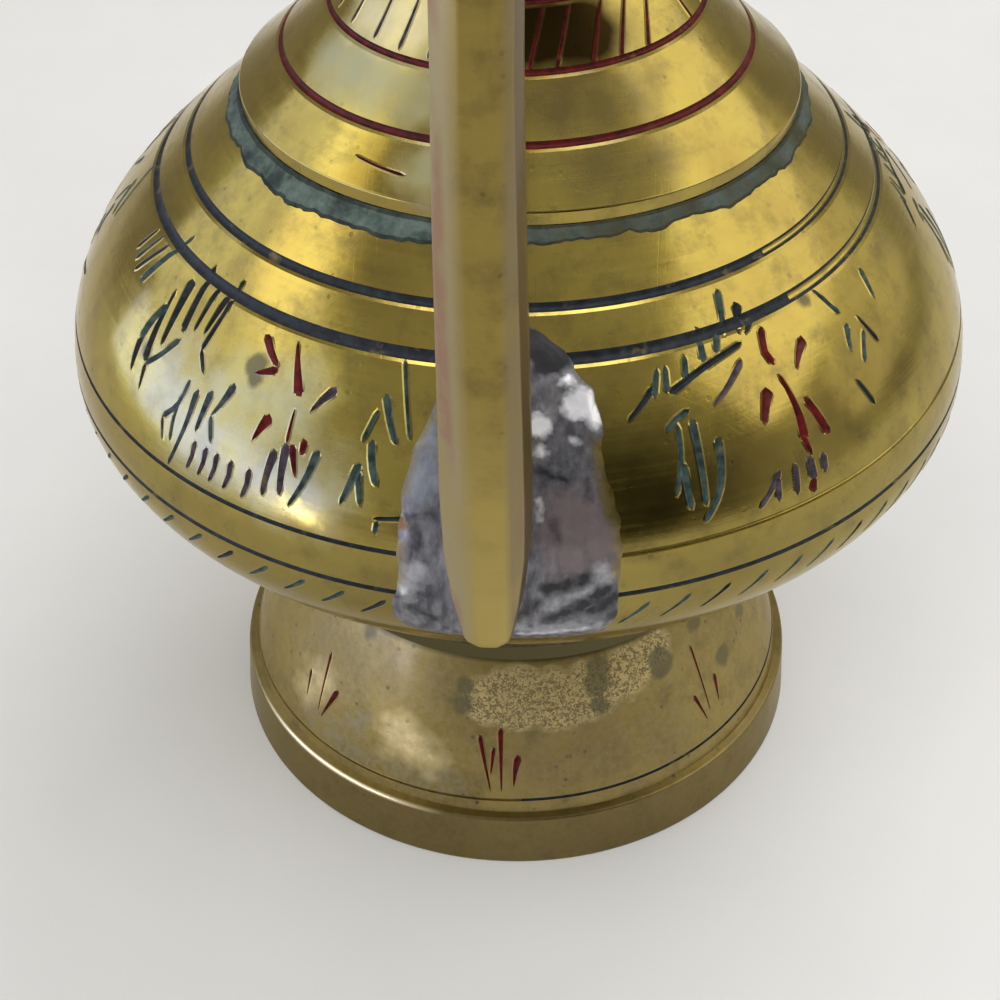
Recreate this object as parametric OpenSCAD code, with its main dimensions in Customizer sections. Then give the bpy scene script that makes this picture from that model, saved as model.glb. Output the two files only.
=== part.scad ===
// Spouted ewer of sheet brass: a flared foot, a bowl of two spun halves, a tall neck with a
// cup-shaped mouth, a hinged lid, a curved spout and a bevelled handle, all soft-soldered together.
// Millimetres. +Z is up, the handle lies towards -Y and the spout towards +Y.

/* [Foot] */
// Diameter of the foot on the table
foot_d = 64; // [58:0.5:78]
// Height of the plain band round the edge of the foot
foot_band_h = 6.4; // [4:0.2:9]
// How far the band leans in from its base to its top
foot_band_draft = 0.5; // [0:0.1:1]
// Width of the step above the band
foot_step = 0.9; // [0.4:0.1:1.5]
// Height of the foot's waist above the table
waist_z = 23.2; // [18:0.2:29]
// Diameter of the foot at its waist
waist_d = 48.6; // [40:0.2:54]
// Height of the collar between the waist and the bowl
collar_h = 3.3; // [2:0.1:5]
// How far the bowl's floor stands out over that collar
floor_lap = 1.2; // [0.6:0.1:2]

/* [Bowl] */
// Largest diameter of the bowl, at its seam
belly_d = 90.8; // [76:0.4:112]
// Height of the lower half of the bowl
lower_bowl_h = 23.6; // [19:0.2:30]
// Height of the upper half of the bowl
upper_bowl_h = 26.5; // [22:0.2:32]
// Diameter of the shoulder that the neck stands on
shoulder_d = 52.8; // [44:0.2:64]
// Thickness of the sheet brass in the foot, bowl and neck
wall = 1.6; // [1.2:0.1:2]

/* [Neck and mouth] */
// Height of the upright edge at the base of the neck
skirt_h = 1.6; // [1:0.1:2.5]
// Height of the neck's cone
cone_h = 19.3; // [16:0.1:24]
// Diameter of the neck at its narrowest
neck_d = 21; // [17:0.2:25]
// Height of the knop that covers the joint in the neck
knop_h = 3; // [2:0.1:4]
// Height of the neck's tube above that joint
tube_h = 27; // [22:0.5:33]
// Diameter of the tube at its top
tube_top_d = 23; // [20:0.2:27]
// Height of the flared part of the mouth cup
cup_flare_h = 8.5; // [7:0.1:11]
// Height of the upright wall of the mouth cup
cup_band_h = 8.5; // [7:0.1:12]
// Diameter of the mouth cup
cup_d = 32.4; // [30:0.2:39]
// Height of the bead round the rim
rim_h = 2; // [1.6:0.1:3]
// How far the rim bead stands out from the cup
rim_stand = 1.4; // [1:0.1:2]

/* [Lid] */
// Gap between the closed lid and the rim
lid_gap = 0.15; // [0.1:0.05:0.4]
// How far the lid's edge stays inside the rim bead
lid_inset = 0.2; // [0:0.1:0.6]
// Thickness of the lid's sheet
lid_wall = 1.2; // [0.8:0.1:1.6]
// Width of the lid's flat brim
lid_brim = 3.8; // [3:0.1:5]
// Height of the lid's dome above its brim
dome_h = 10.6; // [8:0.2:14]
// Depth of the ring under the lid that enters the mouth
flange_h = 3; // [2:0.1:5]
// Clearance of that ring all round in the mouth
flange_gap = 1.1; // [0.9:0.05:1.6]
// Radius of the finial's base
finial_base_r = 4.2; // [3.6:0.1:5]
// Height of the finial above the lid
finial_h = 17.6; // [14:0.2:22]
// Height of the finial's stem above the lid
finial_stem_h = 4; // [3:0.1:6]
// Height of the small cap on top of the finial's bulb
finial_cap_h = 3.4; // [2.4:0.1:4.4]
// Radius of the neck under that cap
finial_cap_r = 1.4; // [0.8:0.1:2]
// Largest radius of the finial's bulb
finial_bulb_r = 4.3; // [3.4:0.1:5.4]
// Radius of the finial's tenon through the lid
tenon_r = 1.6; // [1.2:0.1:2]
// Thickness of the washer under the lid's crown
washer_t = 0.8; // [0.5:0.1:1.2]
// Width of the washer round the tenon
washer_w = 2; // [1.2:0.1:2]
// Height of the tenon's peened end, and how far it stands out over the washer
peen = 0.6; // [0.4:0.1:0.9]

/* [Hinge] */
// Radius of the hinge pin
pin_r = 1.2; // [0.8:0.05:1.5]
// Running clearance of the pin in the lid's knuckle
pin_gap = 0.05; // [0.02:0.01:0.1]
// Outer radius of the knuckles
knuckle_r = 2.4; // [2.1:0.05:2.8]
// Width of the lid's knuckle and its leaf
leaf_w = 3.4; // [2.6:0.1:4.4]
// Width of each of the two fixed knuckles
lug_w = 2.6; // [2:0.1:3.4]
// Side gap between neighbouring knuckles
knuckle_gap = 0.15; // [0.1:0.05:0.3]
// Distance from the rim bead to the knuckles
hinge_clear = 1.8; // [1.4:0.1:3]
// How far the hinge's axis lies below the top of the lid's brim
hinge_sink = 0.15; // [0:0.05:0.4]
// Gap between the end of the leaf and the lid's dome
leaf_gap = 0.4; // [0.2:0.1:1]
// Thickness of the bracket's plate
bracket_t = 1.5; // [1:0.1:2]
// How far that plate runs out behind the knuckles
bracket_tail = 1.8; // [1:0.1:3]
// Height of the pin's two heads, and how far they stand out round the pin
pin_head = 0.6; // [0.4:0.1:0.9]

/* [Handle] */
// How far the handle's back stands out beyond the bowl
handle_stand = 14.8; // [12:0.2:20]
// Thickness of the handle
handle_t = 6.2; // [5:0.1:7.4]
// Width of the handle where it is widest, above its lower end
handle_low_w = 7.3; // [6:0.1:9]
// Width of the handle at its back
handle_mid_w = 5.8; // [5:0.1:7]
// Width of the handle at the mouth cup
handle_top_w = 8; // [6:0.1:9]
// Width and thickness of the tapered lower end
handle_tip_w = 4.3; // [3.4:0.1:5.2]
// Width of the bevels along the handle's four edges
handle_bevel = 1.25; // [0.6:0.05:1.5]
// Height of the handle's lower end above the bowl's seam
handle_tip_h = 0.7; // [-3:0.1:2]
// Height of the handle's furthest point above the bowl's seam
handle_back_h = 57; // [50:0.5:62]
// Length of the straight run behind the mouth cup
handle_run = 25.4; // [20:0.2:30]
// Distance from the top of the mouth cup down to the handle's flat top
handle_drop = 2.5; // [1.2:0.1:3.2]
// Thickness of the solder under the lower end of the handle
low_solder_t = 0.8; // [0.6:0.1:1.6]
// Length of that solder
low_solder_l = 5.4; // [4:0.1:8]
// Solder between the upper end of the handle and the mouth cup
top_solder_t = 0.4; // [0.2:0.1:0.8]

/* [Spout] */
// Height of the spout's root above the bowl's seam
spout_root_h = 11; // [10:0.1:13]
// Outer radius of the spout at its root
spout_root_r = 8.6; // [7:0.1:9]
// Outer radius of the spout at its tip
spout_tip_r = 4.4; // [3.6:0.1:5.4]
// Thickness of the spout's sheet
spout_wall = 1.2; // [0.8:0.1:1.6]
// Radius of the port in the bowl behind the spout
port_r = 5.6; // [4:0.1:5.8]
// Distance from the top of the mouth cup down to the spout's tip
spout_tip_drop = 19; // [14:0.5:26]
// Lean of the spout's tip from upright, in degrees
spout_lean = 24; // [15:1:35]
// Radius of the half-round lip at the spout's tip
lip_r = 0.9; // [0.7:0.05:1.1]

/* [Turned lines] */
// Width of the lines cut round the bowl, neck, mouth cup and lid
line_w = 0.9; // [0.6:0.05:1.2]
// Depth of those lines
line_depth = 0.3; // [0.15:0.05:0.4]
// Heights of the bowl's four lines above its seam
bowl_lines = [0.9, 5.1, 18.9, 21.8];
// Distances of the neck's three lines in from the edge of its base
neck_lines = [4.4, 8.8, 12.4];
// Heights of the mouth cup's two lines above its flare
cup_lines = [1.4, 7.1];
// Distances of the lid's two lines in from the edge of its dome
lid_lines = [2.4, 6.6];

/* [Solder] */
// Width of the seam that runs round the base of the neck
neck_seam_w = 2.5; // [1.6:0.1:3.5]
// Width of the fillets round the other soldered joints
fillet_w = 1.6; // [1:0.1:2.2]
// Thickness of the solder that ran out over the bowl beside the handle
smear_t = 0.25; // [0.15:0.05:0.4]
// How far the solder stands out round the handle's upper end
top_solder_w = 0.3; // [0.1:0.1:0.8]
// Angles that this smear reaches to either side of the handle
smear_angles = [-11, 17];
// How far the smear runs down below the bowl's seam
smear_drop = 7; // [2:0.5:9]

/* [Hidden] */
$fn = 96;

brass = "#a8873f";
dull_brass = "#9a8a57";
grey_solder = "#8f8f94";
green_solder = "#6f7f78";

// Sides of a circle that cuts a layer of solder thinner than its own facets would allow
thin_fn = 720;
// Points along each turned curve
steps = 18;
// Rings along the spout and points round it
spout_rings = 24;
spout_sides = 28;
// Rings along the handle's long side, over its shoulder and behind the cup
side_rings = 24;
shoulder_rings = 14;
run_rings = 6;

foot_r = foot_d / 2;
waist_r = waist_d / 2;
belly_r = belly_d / 2;
shoulder_r = shoulder_d / 2;
neck_r = neck_d / 2;
tube_top_r = tube_top_d / 2;
cup_r = cup_d / 2;
mouth_r = cup_r - wall;
lid_r = cup_r + rim_stand - lid_inset;
dome_r = lid_r - lid_brim;
reach = belly_r + handle_stand;

floor_z = waist_z + collar_h;
seam_z = floor_z + lower_bowl_h;
shoulder_z = seam_z + upper_bowl_h;
skirt_z = shoulder_z + skirt_h;
knop_z = skirt_z + cone_h + knop_h / 2;
cup_z = knop_z + tube_h;
band_z = cup_z + cup_flare_h;
rim_z = band_z + cup_band_h;
lid_z = rim_z + rim_h + lid_gap;
brim_z = lid_z + lid_wall;
crown_z = brim_z + dome_h;
handle_z = rim_z - handle_drop - handle_t / 2;

hinge_y = -(cup_r + rim_stand + hinge_clear + knuckle_r);
hinge_z = brim_z - hinge_sink;
bracket_w = leaf_w + 2 * (knuckle_gap + lug_w);

// Control points of a curve that leaves p0 at angle a0 and reaches p3 at angle a3
function bend(p0, a0, k0, p3, a3, k3) =
    let (l = norm(p3 - p0))
    [p0, p0 + k0 * l * [cos(a0), sin(a0)], p3 - k3 * l * [cos(a3), sin(a3)], p3];

function bezier(c, t) =
    pow(1 - t, 3) * c[0] + 3 * t * pow(1 - t, 2) * c[1] + 3 * t * t * (1 - t) * c[2] + pow(t, 3) * c[3];

function slope(c, t) =
    let (v = pow(1 - t, 2) * (c[1] - c[0]) + 2 * t * (1 - t) * (c[2] - c[1]) + t * t * (c[3] - c[2]))
    v / norm(v);

// Points of a curve, moved by d to the left of its direction
function outline(c, d = 0) =
    [for (i = [0:steps]) let (t = i / steps, v = slope(c, t)) bezier(c, t) + d * [-v[1], v[0]]];

function reversed(list) = [for (i = [len(list) - 1:-1:0]) list[i]];

// How many times the sag of a flat facet over the round bowl the spout's solder is lifted by
facet_margin = 3.4;
facet = 2 * PI * (spout_root_r + fillet_w) / spout_sides;
bowl_bend = pow(upper_bowl_h, 2) / (belly_r - shoulder_r);
facet_lift = facet_margin * facet * facet / (8 * bowl_bend);

// Where a rising curve passes a given height, or one that runs inwards a given radius
function t_at(c, axis, value, low = 0, high = 1, n = 24) =
    let (t = (low + high) / 2)
    n == 0 ? t
    : (bezier(c, t)[axis] - value) * (c[3][axis] - c[0][axis]) < 0 ? t_at(c, axis, value, t, high, n - 1)
    : t_at(c, axis, value, low, t, n - 1);

// Turned curves, each as [radius, height], running upwards
step_edge = [foot_r - foot_band_draft - foot_step, foot_band_h + foot_step / 3];
foot_curve = bend(step_edge, 103, 0.25, [waist_r, waist_z], 116, 0.33);
lower_curve = bend([waist_r + floor_lap, floor_z], 49, 0.49, [belly_r, seam_z], 90, 0.23);
upper_curve = bend([belly_r, seam_z], 90, 0.32, [shoulder_r, shoulder_z], 138, 0.415);
cone_curve = bend([shoulder_r, skirt_z], 140, 0.47, [neck_r, knop_z - knop_h / 2], 95, 0.22);
tube_curve = bend([neck_r, knop_z + knop_h / 2], 92, 0.29, [tube_top_r, cup_z], 84, 0.32);
cup_curve = bend([tube_top_r, cup_z], 84, 0.41, [cup_r, band_z], 90, 0.51);
band_line = bend([cup_r, band_z], 90, 0.3, [cup_r, rim_z], 90, 0.3);
dome_curve = bend([dome_r, brim_z], 98, 0.4, [finial_base_r, crown_z], 180, 0.45);

// Radius of the bowl at each height
bowl_outline = concat(outline(lower_curve), [for (i = [1:steps]) outline(upper_curve)[i]]);
bowl_radii = [for (p = bowl_outline) [p[1], p[0]]];
// The same outline, standing out by the thickness of the smeared solder
smear_outline = concat(
    outline(lower_curve, -smear_t), [for (i = [1:steps]) outline(upper_curve, -smear_t)[i]]
);
function bowl_radius(z) = lookup(z, bowl_radii);

// Part of a polyline between two heights, with its ends on them
function between(line, low, high) =
    let (radii = [for (p = line) [p[1], p[0]]])
    concat(
        [[lookup(low, radii), low]],
        [for (p = line) if (p[1] > low && p[1] < high) p],
        [[lookup(high, radii), high]]
    );

// Round groove cut into a turned curve at t, drawn in the plane of the profile
module line_cut(c, t) {
    r = (pow(line_w / 2, 2) + line_depth * line_depth) / (2 * line_depth);
    v = slope(c, t);
    translate(bezier(c, t) + (r - line_depth) * [v[1], -v[0]]) circle(r);
}

module turned(points) rotate_extrude() polygon(points);

// Triangles of a closed sweep: rings of the same number of points, joined in order
function sweep_faces(rings, sides, closed) =
    [for (i = [0:rings - (closed ? 1 : 2)], j = [0:sides - 1])
        let (a = i * sides, b = ((i + 1) % rings) * sides, k = (j + 1) % sides)
        each [[a + j, b + j, b + k], [a + j, b + k, a + k]]
    ];

function end_faces(first, sides, flip) =
    [for (j = [1:sides - 2]) flip ? [first, first + j + 1, first + j] : [first, first + j, first + j + 1]];

module swept_bar(rings) {
    n = len(rings[0]);
    polyhedron(
        points = [for (ring = rings) each ring],
        faces = concat(
            sweep_faces(len(rings), n, false),
            end_faces(0, n, false),
            end_faces((len(rings) - 1) * n, n, true)
        )
    );
}

module swept_loop(rings) {
    polyhedron(
        points = [for (ring = rings) each ring],
        faces = sweep_faces(len(rings), len(rings[0]), true)
    );
}

// Handle: its line is [distance from the axis, height], from the lower end to the mouth cup
handle_start = [belly_r + low_solder_t + handle_tip_w / 2, seam_z + handle_tip_h];
handle_back = [reach - handle_t / 2, seam_z + handle_back_h];
handle_turn = [cup_r + top_solder_t + handle_run, handle_z];
handle_end = [cup_r + top_solder_t, handle_z];
side_curve = bend(handle_start, 87, 0.26, handle_back, 90, 0.31);
shoulder_curve = bend(handle_back, 90, 0.53, handle_turn, 180, 0.32);

// Share of the long side over which the lower end tapers
taper = 0.22;
// Length of the chamfer at the very end, and what it takes off each side
chamfer_l = 0.8;
chamfer = 0.5;

function handle_w(u) =
    lookup(u, [
        [0, handle_tip_w], [taper, handle_low_w], [1, handle_mid_w], [2, handle_mid_w], [3, handle_top_w]
    ]);
function handle_h(u) = lookup(u, [[0, handle_tip_w], [taper, handle_t]]);

// Bevelled section across the handle's line at p, which runs in direction v
function handle_ring(p, v, w, h) =
    let (x = w / 2, y = h / 2, b = handle_bevel)
    [for (q = [
        [x - b, y], [x, y - b], [x, b - y], [x - b, -y], [b - x, -y], [-x, b - y], [-x, y - b], [b - x, y]
    ]) [q[0], -(p[0] + q[1] * v[1]), p[1] - q[1] * v[0]]];

handle_side = [for (i = [0:side_rings])
    let (t = i / side_rings)
    handle_ring(bezier(side_curve, t), slope(side_curve, t), handle_w(t), handle_h(t))
];
// The flat of the handle that faces the bowl, as [distance from the axis, height]
handle_inner = [for (ring = handle_side) [-ring[3][1], ring[3][2]]];

module handle() {
    v = slope(side_curve, 0);
    tip = handle_ring(
        handle_start - chamfer_l * v, v, handle_tip_w - 2 * chamfer, handle_tip_w - 2 * chamfer
    );
    over = [for (i = [1:shoulder_rings])
        let (t = i / shoulder_rings)
        handle_ring(bezier(shoulder_curve, t), slope(shoulder_curve, t), handle_w(1 + t), handle_t)
    ];
    run = [for (i = [1:run_rings])
        let (t = i / run_rings)
        handle_ring(handle_turn + t * (handle_end - handle_turn), [-1, 0], handle_w(2 + t), handle_t)
    ];
    color(brass) swept_bar(concat([tip], handle_side, over, run));
}

// Spout: its line is [distance from the axis, height], square to the bowl at the root.
// How far the middle of that line stands out beyond the bowl
spout_stand = 5.6;
// Shares of the root's and the tip's radius that the spout narrows through on its way
spout_waist = [0.72, 1.15];
// Distance along the root's direction within which the bowl's surface lies
root_search = 12;
root_t = t_at(upper_curve, 1, seam_z + spout_root_h);
root = bezier(upper_curve, root_t);
root_v = slope(upper_curve, root_t);
root_angle = atan2(-root_v[0], root_v[1]);
lip_centre_r = spout_tip_r - spout_wall / 2;
spout_tip = [reach - lip_centre_r * cos(spout_lean) - lip_r, rim_z - spout_tip_drop];
spout_mid = [belly_r + spout_stand, seam_z + 0.5 * (spout_tip[1] - seam_z)];
rise_curve = bend(root, root_angle, 0.5, spout_mid, 91, 0.42);
reach_curve = bend(spout_mid, 91, 0.45, spout_tip, 90 - spout_lean, 0.35);

function spout_point(t) = t < 0.5 ? bezier(rise_curve, 2 * t) : bezier(reach_curve, 2 * t - 1);
function spout_slope(t) = t < 0.5 ? slope(rise_curve, 2 * t) : slope(reach_curve, 2 * t - 1);
function spout_r(t) =
    bezier([spout_root_r, spout_root_r * spout_waist[0], spout_tip_r * spout_waist[1], spout_tip_r], t);

// Circle of radius r across the spout's line at t
function spout_ring(t, r) =
    let (p = spout_point(t), v = spout_slope(t))
    [for (j = [0:spout_sides - 1])
        let (a = 360 * j / spout_sides)
        [r * sin(a), p[0] + r * cos(a) * v[1], p[1] - r * cos(a) * v[0]]
    ];

// Distance along the root's direction from a point to the bowl's surface
function to_bowl(q, low = -root_search, high = root_search, n = 32) =
    let (s = (low + high) / 2, p = q + s * [0, cos(root_angle), sin(root_angle)])
    n == 0 ? s
    : norm([p[0], p[1]]) < bowl_radius(p[2]) ? to_bowl(q, s, high, n - 1) : to_bowl(q, low, s, n - 1);

// Circle of radius r round the root, let down to a height above the bowl's surface
function root_ring(r, lift = 0) =
    [for (q = spout_ring(0, r)) q + (to_bowl(q) + lift) * [0, cos(root_angle), sin(root_angle)]];

module spout() {
    outside = [for (i = [1:spout_rings]) let (t = i / spout_rings) spout_ring(t, spout_r(t))];
    inside = [for (i = [spout_rings:-1:1]) let (t = i / spout_rings) spout_ring(t, spout_r(t) - spout_wall)];
    color(brass)
        swept_loop(concat(
            [root_ring(spout_root_r)], outside, inside, [root_ring(spout_root_r - spout_wall)]
        ));
}

module spout_solder() {
    t = 1 / spout_rings;
    corner = root_ring(spout_root_r, facet_lift);
    up = spout_ring(t, spout_r(t));
    share = fillet_w / norm(up[0] - corner[0]);
    climb = [for (j = [0:spout_sides - 1]) corner[j] + share * (up[j] - corner[j])];
    color(grey_solder) swept_loop([root_ring(spout_root_r + fillet_w, facet_lift), climb, corner]);
}

module spout_lip() {
    color(brass)
        translate([0, spout_tip[0], spout_tip[1]])
        rotate([-spout_lean, 0, 0])
        rotate_extrude()
        intersection() {
            translate([lip_centre_r, 0]) circle(lip_r);
            translate([lip_centre_r - lip_r, 0]) square([2 * lip_r, lip_r]);
        }
}

module foot() {
    top = [foot_r - foot_band_draft, foot_band_h];
    color(dull_brass)
        turned(concat(
            [[foot_r, 0], top],
            outline(foot_curve),
            [[waist_r, floor_z], [waist_r - wall, floor_z]],
            reversed(outline(foot_curve, wall)),
            [[top[0] - wall, foot_band_h - wall], [foot_r - wall, 0]]
        ));
}

module foot_solder() {
    edge = floor_z + fillet_w;
    color(grey_solder)
        turned(concat(
            [[waist_r, floor_z - fillet_w]],
            reversed(between(outline(lower_curve), floor_z, edge)),
            [[waist_r, floor_z]]
        ));
}

module lower_bowl() {
    inner_floor = floor_z + wall;
    color(brass)
        turned(concat(
            [[0, floor_z]],
            outline(lower_curve),
            [for (p = reversed(outline(lower_curve, wall))) if (p[1] > inner_floor) p],
            [[0, inner_floor]]
        ));
}

module upper_bowl() {
    land = shoulder_r - 2 * wall;
    color(brass)
        difference() {
            rotate_extrude()
                difference() {
                    polygon(concat(
                        outline(upper_curve),
                        [[land, shoulder_z], [land, shoulder_z - wall]],
                        reversed(outline(upper_curve, wall))
                    ));
                    for (h = bowl_lines) line_cut(upper_curve, t_at(upper_curve, 1, seam_z + h));
                }
            translate([0, root[0], root[1]])
                rotate([root_angle - 90, 0, 0])
                cylinder(r = port_r, h = root_search, center = true);
        }
}

module neck_solder() {
    low_z = bezier(upper_curve, t_at(upper_curve, 0, shoulder_r + neck_seam_w))[1];
    color(green_solder)
        turned(concat(
            between(outline(upper_curve), low_z, shoulder_z),
            [[shoulder_r, shoulder_z + skirt_h / 2]]
        ));
}

module neck_cone() {
    inner_r = neck_r - wall;
    color(brass)
        rotate_extrude()
        difference() {
            polygon(concat(
                [[shoulder_r, shoulder_z]],
                outline(cone_curve),
                [[neck_r, knop_z], [inner_r, knop_z]],
                reversed(outline(cone_curve, wall)),
                [[shoulder_r - wall, shoulder_z]]
            ));
            for (d = neck_lines) line_cut(cone_curve, t_at(cone_curve, 0, shoulder_r - d));
        }
}

module neck_knop() {
    color(brass)
        rotate_extrude()
        translate([neck_r, knop_z])
        intersection() {
            circle(knop_h / 2);
            translate([0, -knop_h / 2]) square(knop_h);
        }
}

module neck_tube() {
    color(brass)
        turned(concat(
            [[neck_r, knop_z]],
            outline(tube_curve),
            reversed(outline(tube_curve, wall)),
            [[neck_r - wall, knop_z]]
        ));
}

module mouth_cup() {
    color(brass)
        rotate_extrude()
        difference() {
            polygon(concat(
                outline(cup_curve),
                [[cup_r, rim_z], [mouth_r, rim_z]],
                reversed(outline(cup_curve, wall))
            ));
            for (h = cup_lines) line_cut(band_line, t_at(band_line, 1, band_z + h));
        }
}

module rim_bead() {
    r = rim_h / 2;
    edge = cup_r + rim_stand - r;
    color(brass)
        rotate_extrude() {
            translate([mouth_r, rim_z]) square([edge - mouth_r, rim_h]);
            translate([edge, rim_z + r]) circle(r);
        }
}

module handle_low_solder() {
    low = seam_z + handle_tip_h + chamfer_l;
    high = low + low_solder_l;
    half = asin((handle_low_w / 2 - handle_bevel) / belly_r);
    spread_low = seam_z - smear_drop;
    spread_high = seam_z + bowl_lines[2] - line_w;
    color(grey_solder)
        rotate([0, 0, -90]) {
            rotate([0, 0, -half])
                rotate_extrude(angle = 2 * half)
                polygon(concat(
                    between(handle_inner, low, high), reversed(between(bowl_outline, low, high))
                ));
            rotate([0, 0, smear_angles[0]])
                rotate_extrude(angle = smear_angles[1] - smear_angles[0])
                polygon(concat(
                    between(smear_outline, spread_low, spread_high),
                    reversed(between(bowl_outline, spread_low, spread_high))
                ));
        }
}

module handle_top_solder() {
    w = handle_top_w + 2 * top_solder_w;
    h = handle_t + 2 * top_solder_w;
    color(grey_solder)
        difference() {
            translate([-w / 2, -cup_r - top_solder_t, handle_z - h / 2]) cube([w, cup_r, h]);
            translate([0, 0, handle_z - h]) cylinder(r = cup_r, h = 2 * h, $fn = thin_fn);
        }
}

module across(r, w) {
    translate([0, hinge_y, hinge_z]) rotate([0, 90, 0]) cylinder(r = r, h = w, center = true);
}

module hinge_bracket() {
    top = handle_z + handle_t / 2;
    color(brass)
        difference() {
            union() {
                translate([-bracket_w / 2, hinge_y - knuckle_r - bracket_tail, top])
                    cube([bracket_w, 2 * knuckle_r + bracket_tail, bracket_t]);
                for (side = [-1, 1])
                    translate([side * (bracket_w - lug_w) / 2, 0, 0]) {
                        across(knuckle_r, lug_w);
                        translate([-lug_w / 2, hinge_y - knuckle_r, top])
                            cube([lug_w, 2 * knuckle_r, hinge_z - top]);
                    }
            }
            across(pin_r, bracket_w + 1);
        }
}

module hinge_pin() {
    color(dull_brass) {
        across(pin_r, bracket_w);
        for (side = [-1, 1])
            translate([side * (bracket_w + pin_head) / 2, 0, 0]) across(pin_r + pin_head, pin_head);
    }
}

module lid() {
    color(brass)
        rotate_extrude()
        difference() {
            polygon(concat(
                [[lid_r, lid_z], [lid_r, brim_z]],
                outline(dome_curve),
                [[tenon_r, crown_z], [tenon_r, crown_z - lid_wall]],
                reversed(outline(dome_curve, lid_wall)),
                [[dome_r - lid_wall, lid_z]]
            ));
            for (d = lid_lines) line_cut(dome_curve, t_at(dome_curve, 0, dome_r - d));
        }
}

module lid_flange() {
    r = mouth_r - flange_gap;
    inner = dome_r - lid_wall;
    color(brass)
        rotate_extrude()
        translate([inner, lid_z - flange_h]) square([r - inner, flange_h]);
}

module lid_leaf() {
    end = -dome_r - leaf_gap;
    color(brass)
        difference() {
            union() {
                across(knuckle_r, leaf_w);
                translate([-leaf_w / 2, hinge_y, brim_z]) cube([leaf_w, end - hinge_y, lid_wall]);
            }
            across(pin_r + pin_gap, leaf_w + 1);
        }
}

// Pull of the finial's bulb and cap: shares of the bulb's radius, and what the cap stands out over its neck
bulb_pull = [1.55, 1.16];
bulb_rise = [1, 2.7];
cap_pull = [0.8, 0.2];
cap_rise = [1, 0.6];

module finial() {
    low = crown_z - lid_wall - washer_t;
    base_z = crown_z + lid_wall * 2 / 3;
    stem_z = crown_z + finial_stem_h;
    top_z = crown_z + finial_h;
    cap_z = top_z - finial_cap_h;
    foot_bend = bend([finial_base_r, base_z], 170, 0.45, [tenon_r, stem_z], 90, 0.4);
    bulb = [
        [tenon_r, stem_z],
        [finial_bulb_r * bulb_pull[0], stem_z + bulb_rise[0]],
        [finial_bulb_r * bulb_pull[1], cap_z - bulb_rise[1]],
        [finial_cap_r, cap_z]
    ];
    cap = [
        [finial_cap_r, cap_z],
        [finial_cap_r + cap_pull[0], cap_z + cap_rise[0]],
        [finial_cap_r + cap_pull[1], top_z - cap_rise[1]],
        [0, top_z]
    ];
    color(brass)
        turned(concat(
            [[0, low - peen], [tenon_r + peen, low - peen], [tenon_r + peen, low], [tenon_r, low]],
            [[tenon_r, crown_z], [finial_base_r, crown_z]],
            outline(foot_bend),
            [for (i = [1:steps]) outline(bulb)[i]],
            [for (i = [1:steps]) outline(cap)[i]]
        ));
}

module finial_washer() {
    color(dull_brass)
        rotate_extrude()
        translate([tenon_r, crown_z - lid_wall - washer_t])
        square([washer_w, washer_t]);
}

foot();
foot_solder();
lower_bowl();
upper_bowl();
neck_cone();
neck_solder();
neck_knop();
neck_tube();
mouth_cup();
rim_bead();
spout();
spout_solder();
spout_lip();
handle();
handle_low_solder();
handle_top_solder();
hinge_bracket();
hinge_pin();
lid();
lid_flange();
lid_leaf();
finial();
finial_washer();
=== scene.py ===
import math

import bpy
import numpy as np
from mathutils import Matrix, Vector, noise
from mathutils.geometry import delaunay_2d_cdt


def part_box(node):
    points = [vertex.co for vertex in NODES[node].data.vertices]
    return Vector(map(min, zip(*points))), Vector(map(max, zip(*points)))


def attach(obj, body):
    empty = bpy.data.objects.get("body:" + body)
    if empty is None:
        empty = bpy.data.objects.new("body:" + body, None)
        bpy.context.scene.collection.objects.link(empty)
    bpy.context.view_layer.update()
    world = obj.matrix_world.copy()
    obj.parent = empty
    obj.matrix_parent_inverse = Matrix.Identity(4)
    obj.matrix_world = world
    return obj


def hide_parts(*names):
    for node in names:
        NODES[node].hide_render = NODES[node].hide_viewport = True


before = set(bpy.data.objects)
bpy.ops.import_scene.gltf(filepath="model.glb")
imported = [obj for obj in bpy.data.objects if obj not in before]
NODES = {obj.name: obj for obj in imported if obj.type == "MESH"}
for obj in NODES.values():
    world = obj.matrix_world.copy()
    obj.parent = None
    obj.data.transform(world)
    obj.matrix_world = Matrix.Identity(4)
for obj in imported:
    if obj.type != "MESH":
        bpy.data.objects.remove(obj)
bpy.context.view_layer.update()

MM = 0.001


# Sizes

def low(node):
    """Lowest corner of a CAD node, in millimetres."""
    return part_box(node)[0] / MM


def high(node):
    """Highest corner of a CAD node, in millimetres."""
    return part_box(node)[1] / MM


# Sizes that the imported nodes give, in millimetres
foot_r, floor_z = high("foot").xz
belly_r, seam_z = high("lower_bowl").xz
shoulder_r, knop_z = high("neck_cone").xz
shoulder_z = high("upper_bowl").z
knop_r = (high("neck_knop").z - low("neck_knop").z) / 2
neck_r = high("neck_knop").x - knop_r
cup_z = low("mouth_cup").z
cup_r = high("mouth_cup").x
rim_z = low("rim_bead").z
rim_r, rim_top = high("rim_bead").xz
lid_z = low("lid").z
lid_r, crown_z = high("lid").xz
finial_low = low("finial").z
finial_top = high("finial").z
reach = -low("handle").y

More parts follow.
